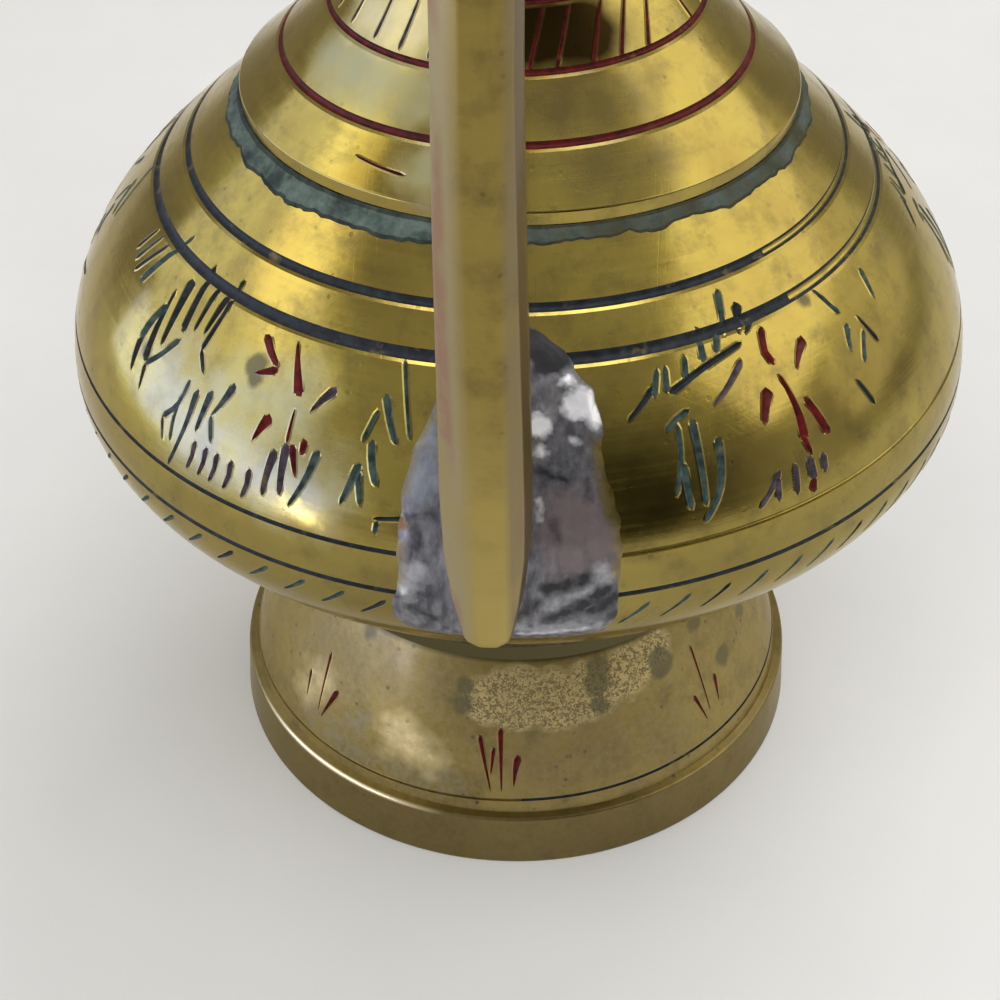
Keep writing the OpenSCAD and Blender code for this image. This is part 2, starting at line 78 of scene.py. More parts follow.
# Sizes inside those pieces
wall = 1.6
lid_wall = 1.2
spout_wall = 1.2
band_h = 6.4
band_draft = 0.5
foot_step = 0.9
waist_r = 24.3
waist_z = 23.2
floor_lap = 1.2
skirt_h = 1.6
tube_top_r = 11.5
flare_h = 8.5
lid_brim = 3.8
tenon_r = 1.6
finial_base_r = 4.2
port_r = 5.6
spout_rise = 11
mouth_r = cup_r - wall
dome_r = lid_r - lid_brim
brim_z = lid_z + lid_wall
skirt_z = shoulder_z + skirt_h
band_z = cup_z + flare_h

# Points round every turned piece, and the angle at which flattened surfaces are joined again
COLUMNS = 180
SEAM = 132
# Angle of the spout, which is opposite the handle
SPOUT_SIDE = -180
# Distance between the rows of a turned surface that has strokes
ROW_STEP = 1.6
# Room that those rows leave beside a turned line and beside a hole, and points round a hole
LINE_ROOM = 0.4
HOLE_ROOM = 0.5
HOLE_POINTS = 40
# Distance across the surface beyond which a stroke has no effect
STROKE_REACH = 12
# Corners sharper than this stay sharp, in degrees
SHARP = 38

# Turned lines: depth, how far they run out of true from side to side, and the ledge below some of them
RING_DEPTH = 0.26
RING_TILT = 0.45
LEDGE = 0.32
LEDGE_DROP = 0.085
# Chiselled strokes: depth for a half width of one, greatest depth, length of the tips, distance between
# points, raised lip beside them
STROKE_SLOPE = 0.7
STROKE_DEPTH = 0.3
STROKE_TIP = 0.45
STROKE_STEP = 0.9
LIP_W = 0.16
LIP_H = 0.045
# Radius of the rounded edges
FOOT_EDGE = 0.45
SKIRT_EDGE = 0.35
NECK_EDGE = 0.3
LID_EDGE = 0.35
FINIAL_EDGE = 0.2


# Outlines

def bend(p0, a0, k0, p3, a3, k3, count=120):
    """Points of a curve that leaves p0 at angle a0 and reaches p3 at angle a3, in degrees."""
    p0, p3 = np.array(p0, float), np.array(p3, float)
    span = np.linalg.norm(p3 - p0)
    p1 = p0 + k0 * span * np.array([math.cos(math.radians(a0)), math.sin(math.radians(a0))])
    p2 = p3 - k3 * span * np.array([math.cos(math.radians(a3)), math.sin(math.radians(a3))])
    return bezier([p0, p1, p2, p3], count)


def bezier(control, count):
    """Points of a cubic curve with four control points."""
    c = np.array(control, float)
    t = np.linspace(0, 1, count)[:, None]
    return (1 - t) ** 3 * c[0] + 3 * t * (1 - t) ** 2 * c[1] + 3 * t * t * (1 - t) * c[2] + t ** 3 * c[3]


def units(vectors):
    """The same vectors with a length of one."""
    return vectors / np.maximum(1e-12, np.linalg.norm(vectors, axis=1))[:, None]


def directions(points):
    """Unit directions along a line of points."""
    return units(np.gradient(np.array(points, float), axis=0))


def beside(points, distance):
    """A line moved to the left of its direction."""
    d = directions(points)
    return np.array(points) + distance * np.column_stack([-d[:, 1], d[:, 0]])


def lengths(points):
    """Length of a line up to each of its points."""
    return np.concatenate([[0], np.cumsum(np.linalg.norm(np.diff(points, axis=0), axis=1))])


def thinned(points, count):
    """The same line with fewer points, evenly spaced."""
    run = lengths(points)
    at = np.linspace(0, run[-1], count)
    return np.column_stack([np.interp(at, run, column) for column in np.array(points).T])


def softened(points, radius, steps=4, least=SHARP):
    """An outline whose sharp corners are rounded; its two ends stay."""
    points = [np.array(p, float) for p in points]
    out = [points[0]]
    for before, corner, after in zip(points, points[1:], points[2:]):
        a, b = before - corner, after - corner
        la, lb = np.linalg.norm(a), np.linalg.norm(b)
        turn = math.pi - math.acos(max(-1, min(1, a @ b / (la * lb))))
        if turn < math.radians(least):
            out.append(corner)
            continue
        cut = min(radius * math.tan(turn / 2), 0.45 * la, 0.45 * lb)
        p, q = corner + a / la * cut, corner + b / lb * cut
        for t in np.linspace(0, 1, steps + 1):
            out.append((1 - t) ** 2 * p + 2 * t * (1 - t) * corner + t * t * q)
    return np.array(out + [points[-1]])


def half_round(r, z, radius, count):
    """Outline of a bead, from its lowest point round its outside to its highest."""
    turn = np.radians(np.linspace(-90, 90, count))
    return np.column_stack([r + radius * np.cos(turn), z + radius * np.sin(turn)])


def turned(phi, r, z):
    """Points round the axis: an angle from the handle in degrees, a radius and a height."""
    a = np.radians(phi)
    return np.column_stack([r * np.sin(a), -r * np.cos(a), z + 0 * a])


class Outline:
    """A turned outline of [radius, height] points, followed by its length s in millimetres."""

    def __init__(self, points, zero=0.0):
        self.points = np.array(points, float)
        self.s = lengths(self.points) - zero
        self.length = self.s[-1]
        d = directions(self.points)
        self.normals = np.column_stack([d[:, 1], -d[:, 0]])

    def at(self, s):
        """Radius and height at a length."""
        return tuple(np.interp(s, self.s, column) for column in self.points.T)

    def normal(self, s):
        """Direction straight out of the surface at a length."""
        return tuple(np.interp(s, self.s, column) for column in self.normals.T)

    def s_at(self, z):
        """Length at a height."""
        return np.interp(z, self.points[:, 1], self.s)

    def r_at(self, z):
        """Radius at a height."""
        return np.interp(z, self.points[:, 1], self.points[:, 0])

    def inside(self, thickness, count):
        """The other side of a wall, followed backwards."""
        return thinned(beside(self.points, thickness), count)[::-1]

    def place(self, phi, s, lift=0.0):
        """Points in space at an angle from the handle and a length, lifted off the surface."""
        (r, z), (nr, nz) = self.at(s), self.normal(s)
        return turned(np.atleast_1d(phi), r + lift * nr, z + lift * nz)


step_edge = (foot_r - band_draft - foot_step, band_h + foot_step / 3)
foot_line = Outline(bend(step_edge, 103, 0.25, (waist_r, waist_z), 116, 0.33))
lower_line = Outline(bend((waist_r + floor_lap, floor_z), 49, 0.49, (belly_r, seam_z), 90, 0.23))
upper_line = Outline(bend((belly_r, seam_z), 90, 0.32, (shoulder_r, shoulder_z), 138, 0.415))
cone_line = Outline(bend((shoulder_r, skirt_z), 140, 0.47, (neck_r, knop_z - knop_r), 95, 0.22))
tube_line = Outline(bend((neck_r, knop_z + knop_r), 92, 0.29, (tube_top_r, cup_z), 84, 0.32))
cup_line = Outline(bend((tube_top_r, cup_z), 84, 0.41, (cup_r, band_z), 90, 0.51))
dome_line = Outline(bend((dome_r, brim_z), 98, 0.4, (finial_base_r, crown_z), 180, 0.45))
# Both halves of the bowl, with lengths from their seam
bowl_line = Outline(np.concatenate([lower_line.points, upper_line.points[1:]]), lower_line.length)
# Length along the upper half at which the spout's line starts
root_s = upper_line.s_at(seam_z + spout_rise)


# Strokes and turned lines

class Ring:
    """A turned line round an outline at length s. It can have a bare ledge that slopes into it from below,
    and can be worn bare between two angles."""

    def __init__(self, s, width, tint, bare=None, ledge=0.0):
        self.s, self.half, self.tint, self.bare, self.ledge = s, width / 2, tint, bare, ledge
        self.outer = -1 - ledge / self.half

    def centre(self, phi):
        """Length of the line's middle at an angle."""
        return self.s + RING_TILT * np.sin(np.radians(phi))

    def across(self, phi, s):
        """Place across the line, from -1 to 1."""
        return (s - self.centre(phi)) / self.half

    def height(self, phi, s):
        """Height of the surface, below zero in the line and on its ledge."""
        x = self.across(phi, s)
        drop = np.interp(x, [self.outer - 1e-6, -1, 1], [0, 1, 0]) if self.ledge else 0
        return -RING_DEPTH * np.maximum(0, 1 - x ** 2) - LEDGE_DROP * drop

    def slope(self, phi, s):
        """Slope of the surface in the line."""
        x = self.across(phi, s)
        return np.where(np.abs(x) <= 1.001, 2 * RING_DEPTH * x / self.half, 0)

    def ledge_slope(self, phi, s):
        """Slope of the surface on the ledge."""
        x = self.across(phi, s)
        on_ledge = (x > self.outer - 0.01) & (x < -0.99) & (self.ledge > 0)
        return np.where(on_ledge, -LEDGE_DROP / max(self.ledge, 0.01), 0)

    def tint_at(self, phi, s):
        """Number of the lacquer at a point in the line, or 0 where it is bare."""
        worn = self.bare and self.bare[0] < phi < self.bare[1]
        middle = 0.5 if self.half > 0.3 else 1.1
        return 0 if worn and abs(self.across(phi, s)) < middle else self.tint


class Stroke:
    """A chiselled stroke on an outline, tapering from one width to another along a few points."""

    def __init__(self, line, tint, widths, *way):
        self.line, self.tint = line, tint
        self.middle = sum(p[0] for p in way) / len(way)
        curve = self.chart(*np.array(way, float).T)
        for _ in range(2 if len(way) > 2 else 0):
            near, far = 0.75 * curve[:-1] + 0.25 * curve[1:], 0.25 * curve[:-1] + 0.75 * curve[1:]
            middle = np.stack([near, far], 1).reshape(-1, 2)[1:-1]
            curve = np.concatenate([curve[:1], middle, curve[-1:]])
        run = lengths(curve)
        total = run[-1]
        tip = min(STROKE_TIP, total / 4)
        inner = np.linspace(tip, total - tip, max(2, round(total / STROKE_STEP)))
        at = np.concatenate([[0, tip / 2], inner, [total - tip / 2, total]])
        self.spine = np.column_stack([np.interp(at, run, column) for column in curve.T])
        ease = np.sqrt(np.clip(np.minimum(at, total - at) / tip, 0.03, 1))
        self.half = ease * np.interp(at, [0, total], widths) / 2

    def chart(self, phi, s):
        """Millimetres across and along the surface, round the middle of the stroke."""
        return np.column_stack([np.radians(phi - self.middle) * self.line.at(s)[0], s])

    def back(self, xy):
        """Angle and length of points in that chart."""
        return self.middle + np.degrees(xy[:, 0] / self.line.at(xy[:, 1])[0]), xy[:, 1]

    def near(self, phi, s):
        """Which points are close enough to be touched by the stroke."""
        return np.abs(self.chart(phi, s)[:, 0]) < STROKE_REACH

    def sides(self, extra=0.0):
        """Border of the stroke, widened by extra, as angles and lengths."""
        d = directions(self.spine)
        out = np.column_stack([-d[:, 1], d[:, 0]]) * (self.half + extra)[:, None]
        left, right = self.spine + out, (self.spine - out)[::-1]
        left[-1] += extra * d[-1]
        right[-1] -= extra * d[0]
        return self.back(np.concatenate([left, right]))

    def measure(self, phi, s):
        """Distance beyond the border, height of the surface, and whether a point is inside."""
        xy = self.chart(phi, s)
        a, ab = self.spine[:-1], np.diff(self.spine, axis=0)
        t = np.clip(((xy[:, None] - a) * ab).sum(2) / (ab * ab).sum(1), 0, 1)
        gap = np.linalg.norm(xy[:, None] - (a + t[..., None] * ab), axis=2)
        half = self.half[:-1] + t * np.diff(self.half)
        k = np.argmin(gap - half, axis=1)
        row = np.arange(len(xy))
        gap, half = gap[row, k], half[row, k]
        beyond = gap - half
        depth = np.minimum(STROKE_DEPTH, STROKE_SLOPE * half)
        inside = beyond < -1e-4
        lip = LIP_H * np.clip(1 - beyond / LIP_W, 0, 1)
        return beyond, np.where(inside, -depth * np.clip(1 - gap / half, 0, 1), lip), inside


def strokes_on(line, rows, turn=0.0):
    """Strokes of a list of (tint, widths, points ...), turned round the axis by an angle."""
    out = []
    for tint, widths, *way in rows:
        middle = turn + sum(p[0] for p in way) / len(way)
        wrap = turn - 360 * math.ceil((middle - SEAM) / 360)
        out.append(Stroke(line, tint, widths, *[(phi + wrap, s) for phi, s in way]))
    return out


def around(count, start):
    """Angles of a number of strokes spaced evenly round the axis."""
    return SEAM - 360 + start + np.arange(count) * 360 / count


class Engraving:
    """The surface of an outline with turned lines, strokes and a round hole cut into it. It is cut into
    triangles on a flat chart of angles and lengths, whose two sides meet at the seam."""

    def __init__(self, line, angles, rings, strokes, hole):
        self.line, self.rings, self.strokes, self.hole = line, rings, strokes, hole
        self.phis = np.append(angles, SEAM)
        self.scale = math.radians(1) * line.points[:, 0].mean()
        self.flat, self.edges, self.seam_pairs = [], [], []
        self.add_rows()
        self.add_cuts()
        self.triangulate()

    def add(self, phi, s):
        """Numbers of new points on the chart."""
        first = len(self.flat)
        self.flat.extend(zip(phi, s))
        return np.arange(first, first + len(phi))

    def add_round(self, phi, s):
        """Numbers of a row of points whose ends meet at the seam."""
        numbers = self.add(phi, s)
        self.seam_pairs.append((numbers[-1], numbers[0]))
        return numbers

    def chain(self, numbers, closed=False):
        """Makes the triangles keep to a line of points."""
        self.edges.extend(zip(numbers[:-1].tolist(), numbers[1:].tolist()))
        if closed:
            self.edges.append((int(numbers[-1]), int(numbers[0])))

    def from_hole(self, phi, s):
        """Distance from the middle of the hole."""
        return np.hypot((phi - self.hole[0]) * self.scale, s - self.hole[1])

    def clear(self, s):
        """Which points of a row keep off the cuts."""
        row = np.full_like(self.phis, s)
        kept = np.ones(len(row), bool)
        for ring in self.rings:
            kept &= np.abs(s - ring.centre(self.phis)) > ring.half + ring.ledge + LINE_ROOM
        for stroke in self.strokes:
            near = stroke.near(self.phis, row)
            if near.any():
                kept[near] &= stroke.measure(self.phis[near], row[near])[0] > 2 * LIP_W
        if self.hole:
            kept &= self.from_hole(self.phis, s) > self.hole[2] + HOLE_ROOM
        return kept

    def add_rows(self):
        """Rows of points along the outline."""
        length = self.line.length
        heights = np.linspace(0, length, round(length / ROW_STEP) + 1)
        ends = [self.add_round(self.phis, np.full_like(self.phis, s)) for s in heights[[0, -1]]]
        self.lowest, self.highest = ends
        for s in heights[1:-1]:
            kept = self.clear(s)
            add = self.add_round
            if not (kept[0] and kept[-1]):
                kept[0] = kept[-1] = False
                add = self.add
            add(self.phis[kept], np.full(kept.sum(), s))

    def add_cuts(self):
        """Borders of the turned lines, the strokes and the hole."""
        for ring in self.rings:
            for share in [-1, -0.5, 0, 0.5, 1] + [ring.outer] * bool(ring.ledge):
                self.chain(self.add_round(self.phis, ring.centre(self.phis) + share * ring.half))
        for stroke in self.strokes:
            self.chain(self.add(*stroke.sides()), closed=True)
            self.chain(self.add(*stroke.back(stroke.spine)))
            self.chain(self.add(*stroke.sides(LIP_W)), closed=True)
        self.rim = np.arange(0)
        if self.hole:
            phi, s, radius = self.hole
            turn = np.linspace(0, 2 * math.pi, HOLE_POINTS, endpoint=False)
            self.rim = self.add(phi + radius * np.cos(turn) / self.scale, s + radius * np.sin(turn))
            self.chain(self.rim, closed=True)

    def triangulate(self):
        """Triangles between those points, the points' places in space, and what each triangle lies in."""
        plane = [Vector((phi * self.scale, s)) for phi, s in self.flat]
        verts, _, tris, origins, _, _ = delaunay_2d_cdt(plane, self.edges, [], 0, 1e-4, True)
        where = {number: out for out, numbers in enumerate(origins) for number in numbers}
        self.uv = np.array([(v.x / self.scale, v.y) for v in verts])
        tris = np.array([t[:3] for t in tris])
        side = self.uv[tris]
        area = np.cross(side[:, 1] - side[:, 0], side[:, 2] - side[:, 0])
        self.tris = np.where(area[:, None] < 0, tris[:, ::-1], tris)[np.abs(area) > 1e-9]
        self.merged = np.arange(len(self.uv))
        for last, first in self.seam_pairs:
            self.merged[where[last]] = where[first]
        self.borders = [
            [int(self.merged[where[int(k)]]) for k in row]
            for row in (self.lowest[:-1], self.highest[:-1], self.rim)
        ]

        level, _, _ = self.relief(*self.uv.T)
        self.places = self.line.place(*self.uv.T, level)
        widest = self.line.points[:, 0].max() / np.hypot(self.places[:, 0], self.places[:, 1])
        self.places[:, :2] *= np.minimum(1, widest)[:, None]
        self.middle = self.uv[self.tris].mean(1)
        self.level, self.owner, self.cut = self.relief(*self.middle.T)

    def relief(self, phi, s):
        """Height of points, the number of the line or stroke they lie in, and whether it is a stroke."""
        level, owner, cut = np.zeros(len(phi)), np.full(len(phi), -1), np.zeros(len(phi), bool)
        for number, ring in enumerate(self.rings):
            h = ring.height(phi, s)
            owner[h < -1e-6] = number
            level = np.minimum(level, h)
        for number, stroke in enumerate(self.strokes):
            ids = np.flatnonzero(stroke.near(phi, s))
            _, h, inside = stroke.measure(phi[ids], s[ids])
            here = level[ids]
            owner[ids[inside & (h < here)]] = len(self.rings) + number
            lipped = np.where(here < 0, here, np.maximum(here, h))
            level[ids] = np.where(inside, np.minimum(here, h), lipped)
            cut[ids[inside]] = True
        return level, owner, cut

    def leaning(self, slopes):
        """Normals of the points, where the surface leans from the outline by the sum of some slopes."""
        slope = sum(slopes, np.zeros(len(self.uv)))
        nr, nz = self.line.normal(self.uv[:, 1])
        return units(turned(self.uv[:, 0], nr + slope * nz, nz - slope * nr))

    def faces(self):
        """Point numbers, corner normals and lacquer of every triangle outside the hole."""
        plain = self.leaning([])
        grooved = self.leaning([ring.slope(*self.uv.T) for ring in self.rings])
        ledged = self.leaning([ring.ledge_slope(*self.uv.T) for ring in self.rings])
        corner = self.places[self.tris]
        flat = units(np.cross(corner[:, 1] - corner[:, 0], corner[:, 2] - corner[:, 0]))
        solid = np.ones(len(self.tris), bool)
        if self.hole:
            solid = self.from_hole(*self.middle.T) > self.hole[2] * 0.995
        for i in np.flatnonzero(solid):
            tri, owner, spot = self.tris[i], self.owner[i], self.middle[i]
            ring = self.rings[owner] if 0 <= owner < len(self.rings) else None
            on_ledge = ring and ring.across(*spot) < -1
            normals = (ledged if on_ledge else grooved if owner >= 0 else plain)[tri]
            if self.cut[i] or self.level[i] > 0.005:
                normals = [flat[i]] * 3
            tint = 0
            if ring:
                tint = 0 if on_ledge else ring.tint_at(*spot)
            elif owner >= 0:
                tint = self.strokes[owner - len(self.rings)].tint
            yield [int(v) for v in self.merged[tri]], normals, tint


# Meshes

def add_object(name, mesh, materials, body, replaces):
    """Links a mesh as a piece that rides on a body, takes the given materials and stands for CAD nodes."""
    for material in materials:
        mesh.materials.append(material)
    piece = bpy.data.objects.new(name, mesh)
    bpy.context.scene.collection.objects.link(piece)
    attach(piece, body)
    if replaces:
        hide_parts(*replaces)
    return piece


def smooth_piece(name, points, faces, materials, body, replaces=(), sharp=SHARP):
    """A closed piece from points in millimetres, smooth up to an angle between its faces."""
    points = np.array(points, float)
    volume = sum(
        points[f[0]] @ np.cross(points[f[i]], points[f[i + 1]]) for f in faces for i in range(1, len(f) - 1)
    )
    if volume < 0:
        faces = [f[::-1] for f in faces]
    mesh = bpy.data.meshes.new(name)
    mesh.from_pydata([Vector(p) * MM for p in points], [], faces)
    mesh.polygons.foreach_set("use_smooth", [True] * len(mesh.polygons))
    mesh.set_sharp_from_angle(angle=math.radians(sharp))
    return add_object(name, mesh, materials, body, replaces)


def loft(name, rings, materials, replaces, sharp, closed=False):
    """A piece of the ewer through rows of points. Its last row joins the first, or both are filled."""
    count, sides = len(rings), len(rings[0])
    faces = []
    for i in range(count if closed else count - 1):
        a, b = i * sides, (i + 1) % count * sides
        for j in range(sides):
            k = (j + 1) % sides
            faces.append([a + j, a + k, b + k, b + j])
    if not closed:
        end = (count - 1) * sides
        faces += [list(range(sides))[::-1], list(range(end, end + sides))]
    return smooth_piece(name, np.concatenate(rings), faces, materials, "ewer", replaces, sharp)


class Shell:
    """Collects the points, faces, corner normals and material numbers of one turned piece."""

    def __init__(self, columns=COLUMNS):
        self.columns = columns
        self.angles = SEAM - 360 + np.arange(columns) * 360 / columns
        self.points, self.faces, self.normals, self.index = [], [], [], []

    def add_face(self, face, normals, index=0):
        """Adds a face with its corners' normals and its material number."""
        self.faces.append(face)
        self.normals.extend(normals)
        self.index.append(index)

    def row(self, r, z):
        """A row of points round the axis, or one point on it; returns their numbers."""
        first = len(self.points)
        if r < 1e-4:
            self.points.append((0, 0, z))
            return [first] * self.columns
        self.points.extend(turned(self.angles, r, z))
        return list(range(first, first + self.columns))

    def band(self, below, above, normal_below, normal_above):
        """Faces between two rows, with the outline's normal at each."""
        normals_below, normals_above = (turned(self.angles, *n) for n in (normal_below, normal_above))
        for j in range(self.columns):
            k = (j + 1) % self.columns
            corners = {below[j]: normals_below[j], below[k]: normals_below[k]}
            corners |= {above[k]: normals_above[k], above[j]: normals_above[j]}
            if len(corners) > 2:
                self.add_face(list(corners), corners.values())

    def skin(self, outline, start=None, end=None, closed=False):
        """Rows along an outline, from a row that exists to another, or on their own."""
        line = np.array(outline, float)
        rows = [self.row(*p) for p in line[1:-1]]
        rows = [self.row(*line[0]) if start is None else start] + rows
        rows += [self.row(*line[-1]) if end is None else end]
        if closed:
            line, rows = np.concatenate([line, line[:1]]), rows + rows[:1]
        step = np.diff(line, axis=0)
        size = np.linalg.norm(step, axis=1)
        flat = np.column_stack([step[:, 1], -step[:, 0]]) / size[:, None]
        count = len(step)

        def joined(i, k):
            """Normal of a step at its border with another."""
            if not closed and not 0 <= k < count:
                return flat[i]
            k %= count
            if flat[i] @ flat[k] < math.cos(math.radians(SHARP)):
                return flat[i]
            n = size[i] * flat[i] + size[k] * flat[k]
            return n / np.linalg.norm(n)

        for i in range(count):
            self.band(rows[i], rows[i + 1], joined(i, i - 1), joined(i, i + 1))

    def engrave(self, line, rings=(), strokes=(), hole=None):
        """An engraved outline. Returns its lowest row, its highest row and the hole's edge."""
        surface = Engraving(line, self.angles, rings, strokes, hole)
        first = len(self.points)
        self.points.extend(surface.places)
        for face, normals, tint in surface.faces():
            self.add_face([first + v for v in face], normals, tint)
        return [[first + v for v in row] for row in surface.borders]

    def add_lining(self, inner, rows):
        """Adds another shell, turned inside out. Returns rows of its points by their new numbers."""
        first = len(self.points)
        self.points.extend(inner.points)
        self.faces.extend([first + v for v in face[::-1]] for face in inner.faces)
        self.normals.extend(-np.array(inner.normals))
        self.index.extend(inner.index)
        return [[first + v for v in row] for row in rows]

    def bridge(self, a, b):
        """Faces between the edges of two holes."""
        for j in range(len(a)):
            k = (j + 1) % len(a)
            face = [a[j], a[k], b[k], b[j]]
            p = [Vector(self.points[v]) for v in face]
            n = (p[1] - p[0]).cross(p[3] - p[0]).normalized()
            self.add_face(face, [n] * 4)

    def piece(self, name, materials, body, slot, replaces):
        """The finished piece."""
        used = sorted({v for face in self.faces for v in face})
        number = {v: i for i, v in enumerate(used)}
        places = [Vector(self.points[v]) * MM for v in used]
        mesh = bpy.data.meshes.new(name)
        mesh.from_pydata(places, [], [[number[v] for v in face] for face in self.faces])
        mesh.polygons.foreach_set("use_smooth", [True] * len(mesh.polygons))
        mesh.polygons.foreach_set("material_index", self.index)
        mesh.normals_split_custom_set([Vector(n) for n in self.normals])
        return add_object(name, mesh, materials, body, replaces)


def lathe(name, outline, materials, body, slot, replaces, columns=COLUMNS, closed=True):
    """A turned piece from one outline."""
    shell = Shell(columns)
    shell.skin(outline, closed=closed)
    return shell.piece(name, materials, body, slot, replaces)


def rough(p, size, seed=0.0):
    """Smooth noise between -1 and 1 at a point in millimetres, for a feature of the given size."""
    return noise.noise(Vector((p[0] / size + seed, p[1] / size - seed, p[2] / size + 2 * seed)))


# Materials

class Paint:
    """A node material with one Principled shader, and short calls for the nodes that feed it."""

    def __init__(self, name, inputs=()):
        self.material = bpy.data.materials.new(name)
        self.material.use_nodes = True
        self.tree = self.material.node_tree
        self.shader = self.tree.nodes["Principled BSDF"]
        self.coords = self.tree.nodes.new("ShaderNodeTexCoord").outputs["Object"]
        for socket, value in dict(inputs).items():
            self.feed(socket, value)

    def set(self, socket, value):
        """Links a socket to another, or gives it a constant."""
        if isinstance(value, bpy.types.NodeSocket):
            self.tree.links.new(value, socket)
        elif isinstance(value, tuple) and len(value) == 3 and socket.type == "RGBA":
            socket.default_value = (*value, 1)
        else:
            socket.default_value = value

    def feed(self, socket, value):
        """Sets a socket of the shader."""
        self.set(self.shader.inputs[socket], value)

    def now(self, socket):
        """What a socket of the shader has at present."""
        socket = self.shader.inputs[socket]
        return socket.links[0].from_socket if socket.is_linked else socket.default_value

    def node(self, kind, inputs=(), **settings):
        """A new node with its inputs and settings."""
        node = self.tree.nodes.new(kind)
        for key, value in settings.items():
            setattr(node, key, value)
        for key, value in dict(inputs).items():
            self.set(node.inputs[key], value)
        return node

    def math(self, operation, a, b):
        """A number from two others."""
        return self.node("ShaderNodeMath", {0: a, 1: b}, operation=operation).outputs[0]

    def product(self, share, *others):
        """Numbers multiplied with each other."""
        for other in others:
            share = self.math("MULTIPLY", share, other)
        return share

    def mix(self, share, a, b):
        """Colour between a and b."""
        return self.node("ShaderNodeMix", {0: share, 6: a, 7: b}, data_type="RGBA").outputs[2]

    def blend(self, share, a, b):
        """Number between a and b."""
        return self.node("ShaderNodeMix", {0: share, 2: a, 3: b}, data_type="FLOAT").outputs[0]

    def vector(self, operation, *inputs):
        """A vector, or a number, from vectors."""
        node = self.node("ShaderNodeVectorMath", dict(enumerate(inputs)), operation=operation)
        return node.outputs["Value" if operation in ("DISTANCE", "DOT_PRODUCT") else "Vector"]

    def axis(self, name, vector=None):
        """One coordinate of a point or vector."""
        return self.node("ShaderNodeSeparateXYZ", {"Vector": vector or self.coords}).outputs[name]

    def moved(self, scale=(1, 1, 1), turn=(0, 0, 0)):
        """Coordinates stretched and turned, for grain that runs one way."""
        angles = [math.radians(a) for a in turn]
        inputs = {"Vector": self.coords, "Scale": scale, "Rotation": angles}
        return self.node("ShaderNodeMapping", inputs).outputs["Vector"]

    def noise(self, size, detail=5.0, roughness=0.55, vector=None, distortion=0.0, output="Fac"):
        """Noise whose features are size millimetres across."""
        inputs = {"Scale": 1 / (size * MM), "Detail": detail, "Roughness": roughness}
        inputs |= {"Distortion": distortion, "Vector": vector or self.coords}
        return self.node("ShaderNodeTexNoise", inputs).outputs[output]

    def spots(self, size):
        """Distance to scattered points size millimetres apart, as a share of that."""
        inputs = {"Scale": 1 / (size * MM), "Vector": self.coords}
        return self.node("ShaderNodeTexVoronoi", inputs).outputs["Distance"]

    def spread(self, value, low, high, to_low=0.0, to_high=1.0):
        """A value moved from one range to another, and held inside it."""
        inputs = {"Value": value, "From Min": low, "From Max": high, "To Min": to_low, "To Max": to_high}
        return self.node("ShaderNodeMapRange", inputs).outputs["Result"]

    def along(self, axis, low, high, *to):
        """A value that changes along an axis, between two places in millimetres."""
        return self.spread(self.axis(axis), low * MM, high * MM, *to)

    def bump(self, height, depth, normal=None):
        """Relief of the given depth in millimetres."""
        inputs = {"Height": height, "Distance": depth * MM, "Strength": 1.0}
        if normal is not None:
            inputs["Normal"] = normal
        return self.node("ShaderNodeBump", inputs).outputs["Normal"]

    def wander(self, size, amount):
        """Offsets of up to amount millimetres, for ragged borders."""
        color = self.noise(size, detail=3.0, roughness=0.5, output="Color")
        return self.vector("MULTIPLY_ADD", color, (4 * amount * MM,) * 3, (-2 * amount * MM,) * 3)

    def streak(self, ends, radius, soft, vector):
        """One near a point in millimetres, or near the line between two, and zero further off."""
        start, end = Vector(ends[0]) * MM, Vector(ends[-1]) * MM
        away = self.vector("SUBTRACT", vector, tuple(start))
        spot = (0, 0, 0)
        if end != start:
            way = end - start
            share = self.spread(self.vector("DOT_PRODUCT", away, tuple(way / way.length_squared)), 0, 1)
            inputs = {0: tuple(way), "Scale": share}
            spot = self.node("ShaderNodeVectorMath", inputs, operation="SCALE").outputs["Vector"]
        return self.spread(self.vector("DISTANCE", away, spot), (radius + soft) * MM, (radius - soft) * MM)

    def cover(self, share, color, metallic, roughness, strength=1.0):
        """Lays a coat over the finish where share is one."""
        if strength != 1.0:
            share = self.product(share, strength)
        self.feed("Base Color", self.mix(share, self.now("Base Color"), color))
        self.feed("Metallic", self.blend(share, self.now("Metallic"), metallic))
        self.feed("Roughness", self.blend(share, self.now("Roughness"), roughness))

    def mark(self, line, marks, soft, ragged, strength, *coat):
        """Lays a coat on marks of an outline, with soft, ragged borders. Returns where they are."""
        share = 0.0
        vector = self.vector("ADD", self.coords, ragged)
        for *way, radius in marks:
            ends = [line.place(phi, s)[0] for phi, s in zip(way[::2], way[1::2])]
            share = self.math("MAXIMUM", share, self.streak(ends, radius, soft, vector))
        self.cover(share, *coat, strength)
        return share


# Tint of the brass seen at a grazing angle
EDGE_TINT = (0.85, 0.76, 0.52)
